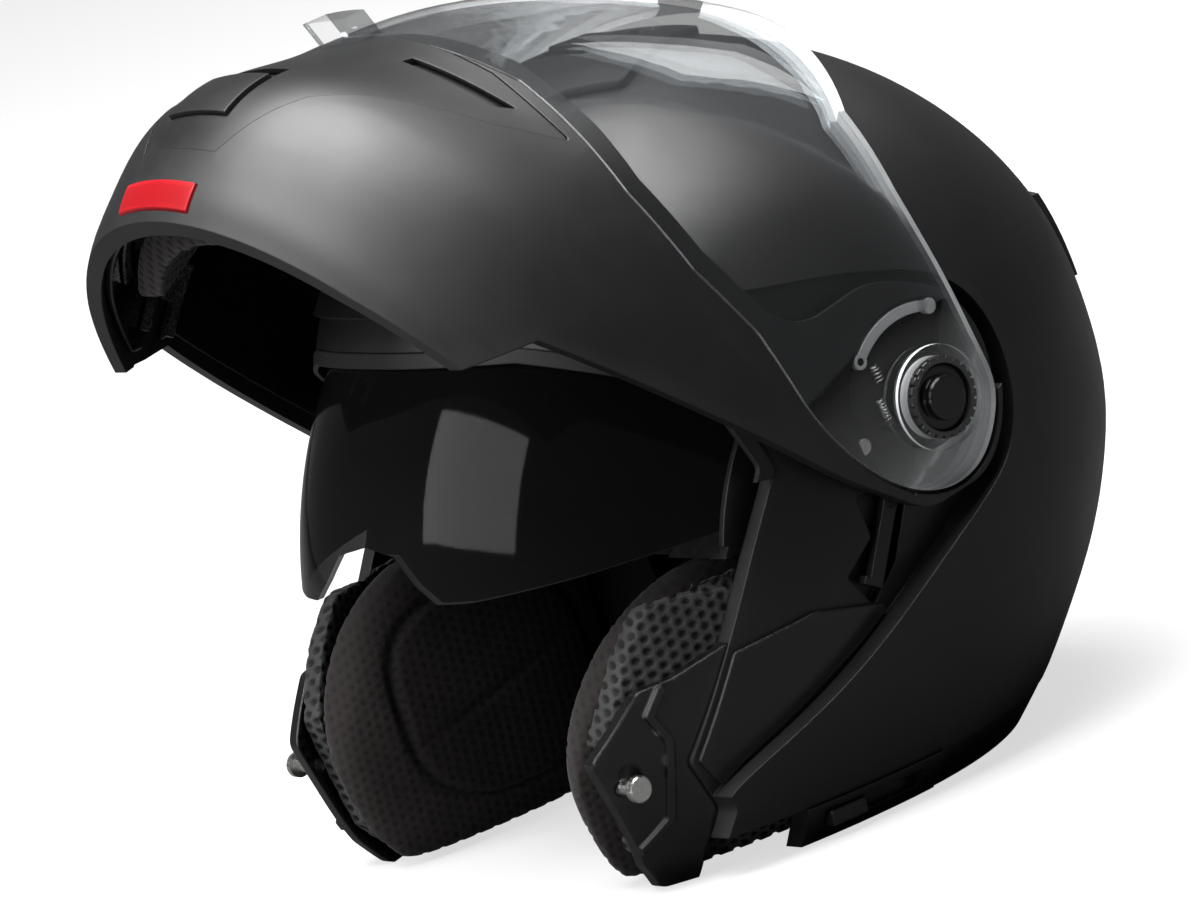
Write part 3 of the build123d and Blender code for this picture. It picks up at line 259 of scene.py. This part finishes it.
def range_node(tree, source, low, high, start=0.3, end=0.7):
    """One value mapped to a range."""
    node = tree.nodes.new("ShaderNodeMapRange")
    node.inputs["From Min"].default_value = start
    node.inputs["From Max"].default_value = end
    node.inputs["To Min"].default_value = low
    node.inputs["To Max"].default_value = high
    tree.links.new(source, node.inputs["Value"])
    return node.outputs[0]


def bump_node(tree, shader, height, strength, distance, below=None):
    """A bump on the shader, over another normal where one is given."""
    bump = tree.nodes.new("ShaderNodeBump")
    bump.inputs["Strength"].default_value = strength
    bump.inputs["Distance"].default_value = distance
    tree.links.new(height, bump.inputs["Height"])
    if below is not None:
        tree.links.new(below, bump.inputs["Normal"])
    tree.links.new(bump.outputs[0], shader.inputs["Normal"])


def shade(color, factor, more=0.0):
    """A colour made lighter or darker."""
    return tuple(min(1.0, part * factor + more) for part in color)


# Plastics: grain sizes are per metre, and depths and edge radii are in metres

CLOUD_SCALE = 14.0
CLOUD_DETAIL = 4.0
CLOUD_ROUGH = 0.6
LEAST_ROUGH = 0.02
GRAIN_DETAIL = 2.0
GRAIN_STRENGTH = 0.35
GRAIN_DEPTH = 0.00003
POLISHED_DEPTH = 0.00001
TRIM_DEPTH = 0.00006
RUBBER_DEPTH = 0.00008
# Painted highlight on convex edges: how much paler the colour turns, and over which pointiness
EDGE_HIGHLIGHT_FACTOR = 1.7
EDGE_HIGHLIGHT_MORE = 0.004
EDGE_HIGHLIGHT_RANGE = (0.52, 0.62)
BEVEL_SAMPLES = 4
SHARP_EDGE = 0.0007
ROUND_EDGE = 0.0014


def plastic(name, color, rough, spec, grain, depth=GRAIN_DEPTH, spread=0.06, coat=0.0,
            edge_radius=SHARP_EDGE):
    """Moulded or painted plastic: fine grain, uneven gloss, and paler convex edges as a painted highlight."""
    mat, tree, shader = shader_of(name, color, rough, spec=spec, coat=coat)
    cloud = noise_node(tree, CLOUD_SCALE, CLOUD_DETAIL, CLOUD_ROUGH)
    uneven = range_node(tree, cloud, max(rough - spread, LEAST_ROUGH), rough + spread)
    tree.links.new(uneven, shader.inputs["Roughness"])
    # Painted highlight: the colour turns paler on convex edges
    edge = tree.nodes.new("ShaderNodeNewGeometry").outputs["Pointiness"]
    edge_highlight = shade(color, EDGE_HIGHLIGHT_FACTOR, EDGE_HIGHLIGHT_MORE)
    tree.links.new(ramp_node(tree, edge, color, edge_highlight, *EDGE_HIGHLIGHT_RANGE), shader.inputs["Base Color"])
    soft_edge = tree.nodes.new("ShaderNodeBevel")
    soft_edge.samples = BEVEL_SAMPLES
    soft_edge.inputs["Radius"].default_value = edge_radius
    bumps = noise_node(tree, grain, GRAIN_DETAIL)
    bump_node(tree, shader, bumps, GRAIN_STRENGTH, depth, soft_edge.outputs[0])
    return mat


# Lenses: the share that mirrors or hides, face on and at a grazing angle

CLEAR_BEND = 0.32
CLEAR_ROUGH = 0.02
CLEAR_SHARES = (0.045, 0.72)
CLEAR_RANGE = (0.08, 0.85)
CLEAR_CLOUD = 40.0
CLEAR_ROUGH_SHARES = (0.6, 1.8)
SMOKE_BEND = 0.4
SMOKE_ROUGH = 0.05
SMOKE_SPECULAR = 0.12
SMOKE_SHARES = (0.80, 0.97)
SMOKE_RANGE = (0.1, 0.9)
SMOKE_CLOUD = 9.0
SMOKE_TINT = (0.005, 0.005, 0.005)
SMOKE_DARK = (0.004, 0.004, 0.004)
SMOKE_PALE = (0.007, 0.006, 0.006)
LENS_DETAIL = 2.0


def clear(name, tint):
    """Clear moulded plastic: light passes, and it mirrors more at grazing angles."""
    mat, tree, shader = shader_of(name, tint, CLEAR_ROUGH, metal=1.0)
    weight = tree.nodes.new("ShaderNodeLayerWeight")
    weight.inputs["Blend"].default_value = CLEAR_BEND
    share = range_node(tree, weight.outputs["Fresnel"], *CLEAR_SHARES, *CLEAR_RANGE)
    tree.links.new(share, shader.inputs["Alpha"])
    cloud = noise_node(tree, CLEAR_CLOUD, LENS_DETAIL)
    uneven = range_node(tree, cloud, *(CLEAR_ROUGH * part for part in CLEAR_ROUGH_SHARES))
    tree.links.new(uneven, shader.inputs["Roughness"])
    return mat


def smoked(name):
    """Dark tinted lens: smooth, and only a little light passes."""
    mat, tree, shader = shader_of(name, SMOKE_TINT, SMOKE_ROUGH, spec=SMOKE_SPECULAR)
    weight = tree.nodes.new("ShaderNodeLayerWeight")
    weight.inputs["Blend"].default_value = SMOKE_BEND
    share = range_node(tree, weight.outputs["Facing"], *SMOKE_SHARES, *SMOKE_RANGE)
    tree.links.new(share, shader.inputs["Alpha"])
    cloud = noise_node(tree, SMOKE_CLOUD, LENS_DETAIL)
    tree.links.new(ramp_node(tree, cloud, SMOKE_DARK, SMOKE_PALE), shader.inputs["Base Color"])
    return mat


# Metals

METAL_GRAIN = 900.0
METAL_DETAIL = 2.0
METAL_STRENGTH = 0.2
METAL_ROUGH_SHARES = (0.7, 1.5)
TARNISH_SCALE = 60.0
TARNISH_FACTOR = 0.78


def metal(name, color, rough):
    """Turned or stamped metal with a fine grain and a faint tarnish."""
    mat, tree, shader = shader_of(name, color, rough, metal=1.0)
    grain = noise_node(tree, METAL_GRAIN, METAL_DETAIL)
    uneven = range_node(tree, grain, *(rough * part for part in METAL_ROUGH_SHARES))
    tree.links.new(uneven, shader.inputs["Roughness"])
    tarnish = noise_node(tree, TARNISH_SCALE)
    tree.links.new(ramp_node(tree, tarnish, shade(color, TARNISH_FACTOR), color), shader.inputs["Base Color"])
    bump_node(tree, shader, grain, METAL_STRENGTH, POLISHED_DEPTH)
    return mat


# Cloth and foam

CLOTH_SPECULAR = 0.2
SHEEN_ROUGH = 0.5
YARN_CLOUD = 90.0
YARN_DETAIL = 5.0
YARN_ROUGH = 0.65
YARN_FACTORS = (0.75, 1.3)
THREAD_REPEATS = 3
THREAD_DISTORTION = 1.5
THREAD_STRENGTH = 0.5
THREAD_DEPTH = 0.00012
FOAM_ROUGH = 0.75
BEAD_SCALE = 330.0
BEAD_RANGE = (0.2, 0.7)
BEAD_FACTOR = 1.5
BEAD_STRENGTH = 0.4
BEAD_DEPTH = 0.0003


def wave_node(tree, where, direction, scale):
    """Threads that run one way."""
    wave = tree.nodes.new("ShaderNodeTexWave")
    wave.bands_direction = direction
    wave.inputs["Scale"].default_value = scale
    wave.inputs["Distortion"].default_value = THREAD_DISTORTION
    tree.links.new(where, wave.inputs["Vector"])
    return wave.outputs["Fac"]


def fabric(name, yarn, shade_and_weave, weave, sheen, rough=0.85):
    """Cloth: a point mask darkens the open cells with the dark backing and painted shade in them, the
    alternate threads of webbing, and pressed-in cells and sewn seams as painted shade; fine threads cross on
    it.
    """
    mat, tree, shader = shader_of(name, yarn, rough, spec=CLOTH_SPECULAR, sheen=sheen)
    shader.inputs["Sheen Roughness"].default_value = SHEEN_ROUGH
    # The mask darkens open cells and alternate webbing threads, and paints shade into pressed-in cells and
    # seams
    mask = tree.nodes.new("ShaderNodeAttribute")
    mask.attribute_name = "shade_and_weave"
    cloud = noise_node(tree, YARN_CLOUD, YARN_DETAIL, YARN_ROUGH)
    mix = tree.nodes.new("ShaderNodeMix")
    mix.data_type = "RGBA"
    tree.links.new(mask.outputs["Fac"], mix.inputs[0])
    tree.links.new(ramp_node(tree, cloud, *(shade(yarn, factor) for factor in YARN_FACTORS)), mix.inputs[6])
    mix.inputs[7].default_value = (*shade_and_weave, 1)
    tree.links.new(mix.outputs[2], shader.inputs["Base Color"])
    where = place_node(tree)
    product = tree.nodes.new("ShaderNodeMath")
    product.operation = "MULTIPLY"
    for index, direction in enumerate(("Z", "DIAGONAL")):
        tree.links.new(wave_node(tree, where, direction, weave / THREAD_REPEATS), product.inputs[index])
    bump_node(tree, shader, product.outputs[0], THREAD_STRENGTH, THREAD_DEPTH)
    return mat


def bead_foam(name, color):
    """Moulded bead foam: round, paler beads with darker seams between them."""
    mat, tree, shader = shader_of(name, color, FOAM_ROUGH, spec=CLOTH_SPECULAR)
    cells = tree.nodes.new("ShaderNodeTexVoronoi")
    cells.inputs["Scale"].default_value = BEAD_SCALE
    tree.links.new(place_node(tree), cells.inputs["Vector"])
    beads = ramp_node(tree, cells.outputs["Distance"], shade(color, BEAD_FACTOR), color, *BEAD_RANGE)
    tree.links.new(beads, shader.inputs["Base Color"])
    bump_node(tree, shader, cells.outputs["Distance"], BEAD_STRENGTH, BEAD_DEPTH)
    return mat


# The materials of this helmet

def hard_materials():
    """Paint, mouldings, lenses and metal, by short names."""
    return {
        "shell": plastic("matte_black_shell", (0.0036, 0.0036, 0.0041), rough=0.45, spec=0.5, grain=2600.0),
        "panel": plastic("matte_black_panel", (0.0034, 0.0034, 0.0038), rough=0.42, spec=0.5, grain=2600.0),
        "trim": plastic("moulded_black_trim", (0.0036, 0.0036, 0.0039), rough=0.34, spec=0.45, grain=1500.0,
                        depth=TRIM_DEPTH),
        "gloss": plastic("gloss_black_plate", (0.0026, 0.0026, 0.003), rough=0.11, spec=0.6, grain=700.0,
                         depth=POLISHED_DEPTH, spread=0.05, edge_radius=ROUND_EDGE),
        "cover": plastic("satin_black_cover", (0.0036, 0.0036, 0.004), rough=0.27, spec=0.55, grain=2000.0,
                         edge_radius=ROUND_EDGE),
        "seal": plastic("black_rubber_seal", (0.0045, 0.0045, 0.0045), rough=0.55, spec=0.3, grain=1200.0,
                        depth=RUBBER_DEPTH),
        "red": plastic("red_button_plastic", (0.24, 0.0015, 0.0045), rough=0.28, spec=0.5, grain=900.0,
                       depth=POLISHED_DEPTH),
        "grey": plastic("grey_lever_plastic", (0.42, 0.43, 0.44), rough=0.30, spec=0.5, grain=900.0),
        "ring": plastic("knurled_ring_plastic", (0.012, 0.012, 0.013), rough=0.12, spec=0.7, grain=600.0,
                        depth=POLISHED_DEPTH, coat=0.5),
        "clear": clear("clear_visor_plastic", (0.93, 0.95, 0.96)),
        # The clear visor's cut edges in a pale opaque colour: a painted highlight
        "rim": plastic("clear_visor_edge_highlight", (0.80, 0.83, 0.85), rough=0.2, spec=0.9, grain=900.0,
                       depth=POLISHED_DEPTH),
        "smoke": smoked("smoked_lens_plastic"),
        # The smoked lens's cut edges in a pale grey: a painted highlight
        "smoke_rim_highlight": plastic("smoked_lens_edge_highlight", (0.46, 0.46, 0.46), rough=0.15, spec=0.8, grain=900.0,
                             depth=POLISHED_DEPTH),
        "steel": metal("turned_steel", (0.74, 0.73, 0.71), rough=0.24),
        "spring": metal("spring_wire_steel", (0.70, 0.70, 0.70), rough=0.20),
    }


def soft_materials():
    """Cloth, webbing and foam, by short names."""
    return {
        # Each second colour is that of the darker places: open cells, alternate webbing threads, and painted
        # shade
        "collar": fabric("open_mesh_fabric", yarn=(0.030, 0.030, 0.031), shade_and_weave=(0.0012, 0.0012, 0.0012),
                         weave=1500.0, sheen=0.1, rough=0.6),
        "pad": fabric("woven_pad_fabric", yarn=(0.014, 0.0105, 0.0105), shade_and_weave=(0.004, 0.003, 0.003),
                      weave=1600.0, sheen=0.12),
        "liner": fabric("brushed_liner_fabric", yarn=(0.006, 0.006, 0.0062), shade_and_weave=(0.002, 0.002, 0.002),
                        weave=1300.0, sheen=0.1),
        "breath": fabric("chin_mesh_fabric", yarn=(0.022, 0.018, 0.019), shade_and_weave=(0.005, 0.004, 0.004),
                         weave=1500.0, sheen=0.12),
        "roll": fabric("ribbed_roll_fabric", yarn=(0.009, 0.008, 0.009), shade_and_weave=(0.003, 0.003, 0.003),
                       weave=1400.0, sheen=0.1),
        "web": fabric("strap_webbing", yarn=(0.012, 0.012, 0.012), shade_and_weave=(0.004, 0.004, 0.004),
                      weave=1100.0, sheen=0.35),
        "foam": bead_foam("bead_foam", (0.020, 0.020, 0.021)),
    }


# Which CAD nodes get which material

SIDES = ("left", "right")
PAINT = {
    "shell": ("outer_shell", "chin_shell", "rear_spoiler"),
    "panel": ("chin_vent_panel", "chin_vent_slider", "crown_vent_base", "crown_vent_slider"),
    "trim": ("rim_trim", "sun_visor_arm_left", "sun_visor_arm_right", "sun_slider_track", "strap_buckle",
             "cheek_studs", "detent_lever_left", "detent_lever_right"),
    "seal": ("eye_port_gasket",),
    "cover": ("side_cover_left", "side_cover_right"),
    "gloss": ("jaw_plate_left", "jaw_plate_right", "pivot_base_left", "pivot_base_right", "pivot_cap_left",
              "pivot_cap_right", "sun_slider", "chin_lining"),
    "ring": ("pivot_ring_left", "pivot_ring_right"),
    "red": ("buckle_lever", "release_button"),
    "grey": ("visor_lever_left", "visor_lever_right"),
    "steel": ("lock_pin_left", "lock_pin_right", "pivot_screws", "pivot_washers", "sun_visor_pins",
              "latch_link", "latch_hook_left", "latch_hook_right", "mechanism_screws"),
    "spring": ("lever_springs_left", "lever_springs_right"),
    "clear": ("visor_lens",),
    "smoke": ("sun_visor_lens",),
    "foam": ("crown_impact_liner", "cheek_impact_liner_left", "cheek_impact_liner_right",
             "chin_impact_liner"),
}


def paint_nodes(mats):
    """The CAD nodes that stay get their materials."""
    for key, names in PAINT.items():
        for name in names:
            data = nodes[name].data
            if not data.materials:
                data.materials.append(mats[key])
            for index in range(len(data.materials)):
                data.materials[index] = mats[key]


# Visors: which faces are cut edges, the half width of the clear lift tab, and the pivot in millimetres

EDGE_FACING = 0.45
TAB_HALF = 0.0125
SUN_PIVOT = (0, 9.4, -50)


def link(name, mesh, mat):
    """A new object with one material."""
    piece = bpy.data.objects.new(name, mesh)
    bpy.context.scene.collection.objects.link(piece)
    piece.data.materials.clear()
    piece.data.materials.append(mat)
    for poly in piece.data.polygons:
        poly.use_smooth = True
    return piece


def make_sheet(name, node, body, faces, edges, centre):
    """A curved clear sheet, whose cut edges get a pale colour: a painted highlight, as bright as the real
    edges look.
    """
    piece = link(name, nodes[node].data.copy(), faces)
    piece.data.materials.append(edges)
    for poly in piece.data.polygons:
        out = (poly.center - centre).normalized()
        cut = abs(poly.normal.dot(out)) < EDGE_FACING
        # Cut-edge faces, the lift tab left out, get the pale edge material: a painted highlight
        poly.material_index = int(cut and abs(poly.center.x) > TAB_HALF)
        poly.use_smooth = not cut
    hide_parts(node)
    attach(piece, body)


# Soft goods: how they are softened, the range of a cell's wave, and the wall's mean radius in millimetres

SOFTEN_FACTOR = 0.5
FINER = 1
CELL_RANGE = 1.8
WALL_RADIUS = 95


def apply_all(piece):
    """Puts the mesh with its modifiers applied in the piece."""
    depsgraph = bpy.context.evaluated_depsgraph_get()
    mesh = bpy.data.meshes.new_from_object(piece.evaluated_get(depsgraph))
    piece.modifiers.clear()
    old = piece.data
    piece.data = mesh
    bpy.data.meshes.remove(old)


def remeshed(name, node, voxel, smooth, levels, mat):
    """A copy of a CAD solid as an even, softened mesh. The voxel is in millimetres."""
    piece = link(name, nodes[node].data.copy(), mat)
    remesh = piece.modifiers.new("even", "REMESH")
    remesh.mode = "VOXEL"
    remesh.voxel_size = voxel * MM * 1
    soften = piece.modifiers.new("soften", "SMOOTH")
    soften.factor = SOFTEN_FACTOR
    soften.iterations = smooth
    if levels:
        finer = piece.modifiers.new("finer", "SUBSURF")
        finer.levels = levels
        finer.render_levels = levels
    apply_all(piece)
    for poly in piece.data.polygons:
        poly.use_smooth = True
    return piece


def points_of(mesh):
    """The vertices and their normals, in millimetres from the pivot, as arrays."""
    count = len(mesh.vertices)
    co = np.empty(count * 3)
    mesh.vertices.foreach_get("co", co)
    normal = np.empty(count * 3)
    mesh.vertices.foreach_get("normal", normal)
    return (co.reshape(-1, 3) - np.array(pivot)) / MM, normal.reshape(-1, 3)


def press_in(mesh, points, normal, depth, mask):
    """Moves the vertices inwards by a depth, and writes the mask of darker places: open cells, and painted
    shade in the pressed-in places.
    """
    moved = points - normal * depth[:, None]
    mesh.vertices.foreach_set("co", (moved * MM + np.array(pivot)).ravel())
    layer = mesh.attributes.new("shade_and_weave", "FLOAT", "POINT")
    layer.data.foreach_set("value", mask.astype(np.float32))
    mesh.update()


def honeycomb(across, along, pitch, thread=0.2):
    """1 in the middle of each open cell and 0 on the threads between, thinner as thread falls."""
    turn = 4 * math.pi / (math.sqrt(3) * pitch)
    total = np.cos(turn * across)
    total = total + np.cos(turn * (-across / 2 + along * math.sqrt(3) / 2))
    total = total + np.cos(turn * (-across / 2 - along * math.sqrt(3) / 2))
    return np.clip((total - thread) / CELL_RANGE, 0, 1)


def groove(distance, width):
    """A sewn channel's depth, 1 on its line."""
    return np.exp(-(distance / width) ** 2)


def around(points, centre_y):
    """How far round the helmet a point lies, in millimetres along the wall."""
    return np.arctan2(points[:, 0], -(points[:, 1] - centre_y)) * WALL_RADIUS


# Mesh collars: lengths in millimetres

COLLAR_VOXEL = 1.4
COLLAR_SOFTENING = 3
COLLAR_CENTRE = -30
COLLAR_PITCH = 3.7
COLLAR_THREAD = -0.35
COLLAR_HEMS = (-117.5, -33.5)
COLLAR_HEM_WIDTH = 2.0
COLLAR_CELL_DEPTH = 0.7
COLLAR_HEM_DEPTH = 0.8
# How dark the open cells are painted: the dark backing and painted shade
COLLAR_DARKNESS = 1.5


def make_collars(mats):
    """The open-mesh collars in front of the cheek pads."""
    for side in SIDES:
        piece = remeshed(f"collar_mesh_{side}", f"cheek_collar_{side}", COLLAR_VOXEL, COLLAR_SOFTENING,
                         FINER, mats["collar"])
        points, normal = points_of(piece.data)
        height = points[:, 2]
        cell = honeycomb(around(points, COLLAR_CENTRE), height, COLLAR_PITCH, COLLAR_THREAD)
        hem = sum(groove(height - level, COLLAR_HEM_WIDTH) for level in COLLAR_HEMS)
        depth = COLLAR_CELL_DEPTH * cell + COLLAR_HEM_DEPTH * np.clip(hem, 0, 1)
        # The open cells are painted near black: the dark foam behind them and painted shade inside them
        press_in(piece.data, points, normal, depth, np.clip(cell * COLLAR_DARKNESS, 0, 1))
        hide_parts(f"cheek_collar_{side}")
        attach(piece, "helmet")


# Cheek pads: lengths in millimetres

PAD_VOXEL = 1.8
PAD_SOFTENING = 6
PAD_MIDDLE_Y = -66
PAD_MIDDLE_Z = -76
PAD_HALF_Y = 50
PAD_HALF_Z = 42
PAD_SQUARE = 2.6
PAD_CROWN = 2.0
PAD_SEAM_SHARE = 0.80
PAD_SEAM_REACH = 46
PAD_SEAM_WIDTH = 1.6
PAD_SEAM_DEPTH = 1.7
PAD_SPLIT_SLOPE = 0.25
PAD_SPLIT_WIDTH = 1.5
PAD_SPLIT_DEPTH = 1.1
PAD_SPLIT_SHARE = 1.1
PAD_TURN_SHARES = (0.8, 0.6)
PAD_PITCH = 3.4
PAD_CELL_DEPTH = 0.3
# How dark the pressed-in diamonds and the sewn channel are painted: painted shade
PAD_CELL_PAINTED_SHADE = 0.8
PAD_SEAM_PAINTED_SHADE = 0.5


def make_cheek_pads(mats):
    """The cheek pads: a crowned panel, a sewn channel round it and woven diamonds."""
    for side, sign in zip(SIDES, (1, -1)):
        piece = remeshed(f"cheek_cushion_{side}", f"cheek_pad_{side}", PAD_VOXEL, PAD_SOFTENING, FINER,
                         mats["pad"])
        points, normal = points_of(piece.data)
        along = points[:, 1] - PAD_MIDDLE_Y
        rise = points[:, 2] - PAD_MIDDLE_Z
        reach = np.abs(along / PAD_HALF_Y) ** PAD_SQUARE + np.abs(rise / PAD_HALF_Z) ** PAD_SQUARE
        rho = reach ** (1 / PAD_SQUARE)
        inner = np.clip(-normal[:, 0] * sign, 0, 1)
        crown = np.clip(1 - rho ** 2, 0, 1) * inner * PAD_CROWN
        seam = groove((rho - PAD_SEAM_SHARE) * PAD_SEAM_REACH, PAD_SEAM_WIDTH) * np.clip(inner * 2, 0, 1)
        split = groove(rise - PAD_SPLIT_SLOPE * along, PAD_SPLIT_WIDTH)
        split = split * np.clip(PAD_SPLIT_SHARE - rho, 0, 1) * inner
        across = points[:, 1] * PAD_TURN_SHARES[0] + points[:, 0] * PAD_TURN_SHARES[1]
        cell = honeycomb(across, points[:, 2], PAD_PITCH)
        depth = PAD_CELL_DEPTH * cell + PAD_SEAM_DEPTH * seam + PAD_SPLIT_DEPTH * split - crown
        # Painted shade: the pressed-in diamonds and the sewn channel are darker
        dark = np.clip(cell * PAD_CELL_PAINTED_SHADE + seam * PAD_SEAM_PAINTED_SHADE, 0, 1)
        press_in(piece.data, points, normal, depth, dark)
        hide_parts(f"cheek_pad_{side}")
        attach(piece, "helmet")


# Crown lining, neck roll and breath pad: lengths in millimetres

LINING_VOXEL = 2.6
LINING_SOFTENING = 4
LINING_PITCH = 6.5
LINING_CELL_DEPTH = 0.3
LINING_BAND_RISE = 18
LINING_BAND_WIDTH = 2.2
LINING_SEAM_SIDE = 24
LINING_SEAM_WIDTH = 2.0
LINING_BAND_DEPTH = 1.8
# How dark the pressed-in quilted cells are painted: painted shade
LINING_FADE = 60
LINING_CELL_PAINTED_SHADE = 0.8
ROLL_VOXEL = 2.2
ROLL_SOFTENING = 8
ROLL_PITCH = 9.0
ROLL_SHARPNESS = 6
ROLL_RIB_DEPTH = 0.5
ROLL_SEAM_HEIGHT = -102
ROLL_SEAM_WIDTH = 1.8
ROLL_SEAM_DEPTH = 1.2
BREATH_VOXEL = 1.6
BREATH_SOFTENING = 5
BREATH_PITCH = 3.6
BREATH_SLOPE_SHARES = (0.45, 0.9)
BREATH_CELL_DEPTH = 0.45


def make_comfort_lining(mats):
    """The crown's comfort liner, quilted, with a sewn band round it and two seams over the top."""
    piece = remeshed("comfort_lining", "comfort_liner", LINING_VOXEL, LINING_SOFTENING, 0, mats["liner"])
    points, normal = points_of(piece.data)
    side = points[:, 0]
    height = points[:, 2]
    cell = honeycomb(around(points, 0), height, LINING_PITCH)
    inward = np.clip(-(normal[:, 0] * side + normal[:, 1] * points[:, 1]) / LINING_FADE, 0, 1)
    seams = groove(np.abs(side) - LINING_SEAM_SIDE, LINING_SEAM_WIDTH) * (height > LINING_BAND_RISE)
    band = groove(height - LINING_BAND_RISE, LINING_BAND_WIDTH) + seams
    depth = LINING_CELL_DEPTH * cell + LINING_BAND_DEPTH * np.clip(band, 0, 1) * inward
    # Painted shade: the pressed-in quilted cells are darker
    press_in(piece.data, points, normal, depth, cell * LINING_CELL_PAINTED_SHADE)
    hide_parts("comfort_liner")
    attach(piece, "helmet")


def make_neck_cushion(mats):
    """The neck roll, ribbed, with one seam along it."""
    piece = remeshed("neck_cushion", "neck_roll", ROLL_VOXEL, ROLL_SOFTENING, 0, mats["roll"])
    points, normal = points_of(piece.data)
    wave = 0.5 + 0.5 * np.cos(around(points, 0) * 2 * math.pi / ROLL_PITCH)
    rib = wave ** ROLL_SHARPNESS
    seam = groove(points[:, 2] - ROLL_SEAM_HEIGHT, ROLL_SEAM_WIDTH)
    # Painted shade: the pressed-in grooves between the ribs are darker
    press_in(piece.data, points, normal, ROLL_RIB_DEPTH * rib + ROLL_SEAM_DEPTH * seam, rib)
    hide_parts("neck_roll")
    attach(piece, "helmet")


def make_breath_cushion(mats):
    """The breath pad inside the chin bar, in open mesh."""
    piece = remeshed("breath_cushion", "breath_pad", BREATH_VOXEL, BREATH_SOFTENING, FINER, mats["breath"])
    points, normal = points_of(piece.data)
    along = points[:, 1] * BREATH_SLOPE_SHARES[0] + points[:, 2] * BREATH_SLOPE_SHARES[1]
    cell = honeycomb(points[:, 0], along, BREATH_PITCH)
    # The open cells are painted darker: the backing behind them and painted shade inside them
    press_in(piece.data, points, normal, BREATH_CELL_DEPTH * cell, cell)
    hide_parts("breath_pad")
    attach(piece, "chin_bar")


# Chin strap: lengths in millimetres, and shares of half the webbing's width and thickness

STRAP_CORNERS = ((74, 2, -40), (74, 2, -98), (42, 2, -115), (14, 2, -115))
STRAP_BEND = 14.0
STRAP_BEND_STEPS = 8
STRAP_STEP = 1.5
STRAP_HALF = 11.8
STRAP_THREADS = 12
STRAP_THICK = 0.78
SELVEDGE_THICK = 0.16
SELVEDGE_SHARE = 0.85
WEAVE_THICK = 0.08
WEAVE_HOLE = 0.7
EDGE_SHARE = 0.99
EDGE_THICK_SHARE = 0.5


def strap_path(sign):
    """The middle of a strap, rounded at its two bends."""
    corners = [Vector(corner) for corner in STRAP_CORNERS]
    path = [corners[0]]
    for before, corner, after in zip(corners, corners[1:], corners[2:]):
        back = (before - corner).normalized()
        ahead = (after - corner).normalized()
        half = back.angle(ahead) / 2
        reach = STRAP_BEND / math.tan(half)
        centre = corner + (back + ahead).normalized() * STRAP_BEND / math.sin(half)
        start = corner + back * reach - centre
        end = corner + ahead * reach - centre
        for step in range(STRAP_BEND_STEPS + 1):
            path.append(centre + start.slerp(end, step / STRAP_BEND_STEPS))
    path.append(corners[-1])
    fine = []
    for a, b in zip(path, path[1:]):
        count = max(1, int((b - a).length / STRAP_STEP))
        fine += [a.lerp(b, k / count) for k in range(count)]
    fine.append(path[-1])
    return [Vector((p.x * sign, p.y, p.z)) for p in fine]


def strap_ring(path, index):
    """The points round the webbing at one place, and how dark each is."""
    point = path[index]
    ahead = path[min(index + 1, len(path) - 1)] - path[max(index - 1, 0)]
    out = Vector((ahead.z, 0, -ahead.x)).normalized()
    shares = [k / STRAP_THREADS for k in range(-STRAP_THREADS, STRAP_THREADS + 1)]
    verts = []
    mask = []
    for face, order in ((1, shares), (-1, list(reversed(shares)))):
        for share in order:
            over = (index + int(share * STRAP_THREADS)) % 2
            thick = STRAP_THICK + SELVEDGE_THICK * (abs(share) > SELVEDGE_SHARE) + WEAVE_THICK * over
            thick *= 1 if abs(share) < EDGE_SHARE else EDGE_THICK_SHARE
            verts.append(at(*(point + Vector((0, share * STRAP_HALF, 0)) + out * (thick * face))))
            mask.append(float(over) * WEAVE_HOLE)
    return verts, mask


def make_straps(mats):
    """Flat woven webbing with thicker selvedges and closed ends."""
    for side, sign in zip(SIDES, (1, -1)):
        path = strap_path(sign)
        ring = (2 * STRAP_THREADS + 1) * 2
        verts = []
        faces = []
        mask = []
        for index in range(len(path)):
            ring_verts, ring_mask = strap_ring(path, index)
            verts += ring_verts
            mask += ring_mask
            if index:
                base = (index - 1) * ring
                for k in range(ring):
                    n = (k + 1) % ring
                    faces.append((base + k, base + n, base + ring + n, base + ring + k))
        faces.append(tuple(range(ring)))
        last = (len(path) - 1) * ring
        faces.append(tuple(reversed(range(last, last + ring))))
        mesh = bpy.data.meshes.new(f"webbing_{side}")
        mesh.from_pydata(verts, [], faces)
        layer = mesh.attributes.new("shade_and_weave", "FLOAT", "POINT")
        layer.data.foreach_set("value", mask)
        mesh.update()
        piece = link(f"webbing_{side}", mesh, mats["web"])
        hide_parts(f"strap_{side}")
        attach(piece, "helmet")


make_camera()
make_stage()
materials = {**hard_materials(), **soft_materials()}
paint_nodes(materials)
make_sheet("clear_visor_sheet", "visor_lens", "visor", materials["clear"], materials["rim"], pivot)
make_sheet("sun_visor_sheet", "sun_visor_lens", "sun_visor", materials["smoke"],
           materials["smoke_rim_highlight"], at(*SUN_PIVOT))
make_collars(materials)
make_cheek_pads(materials)
make_comfort_lining(materials)
make_neck_cushion(materials)
make_breath_cushion(materials)
make_straps(materials)
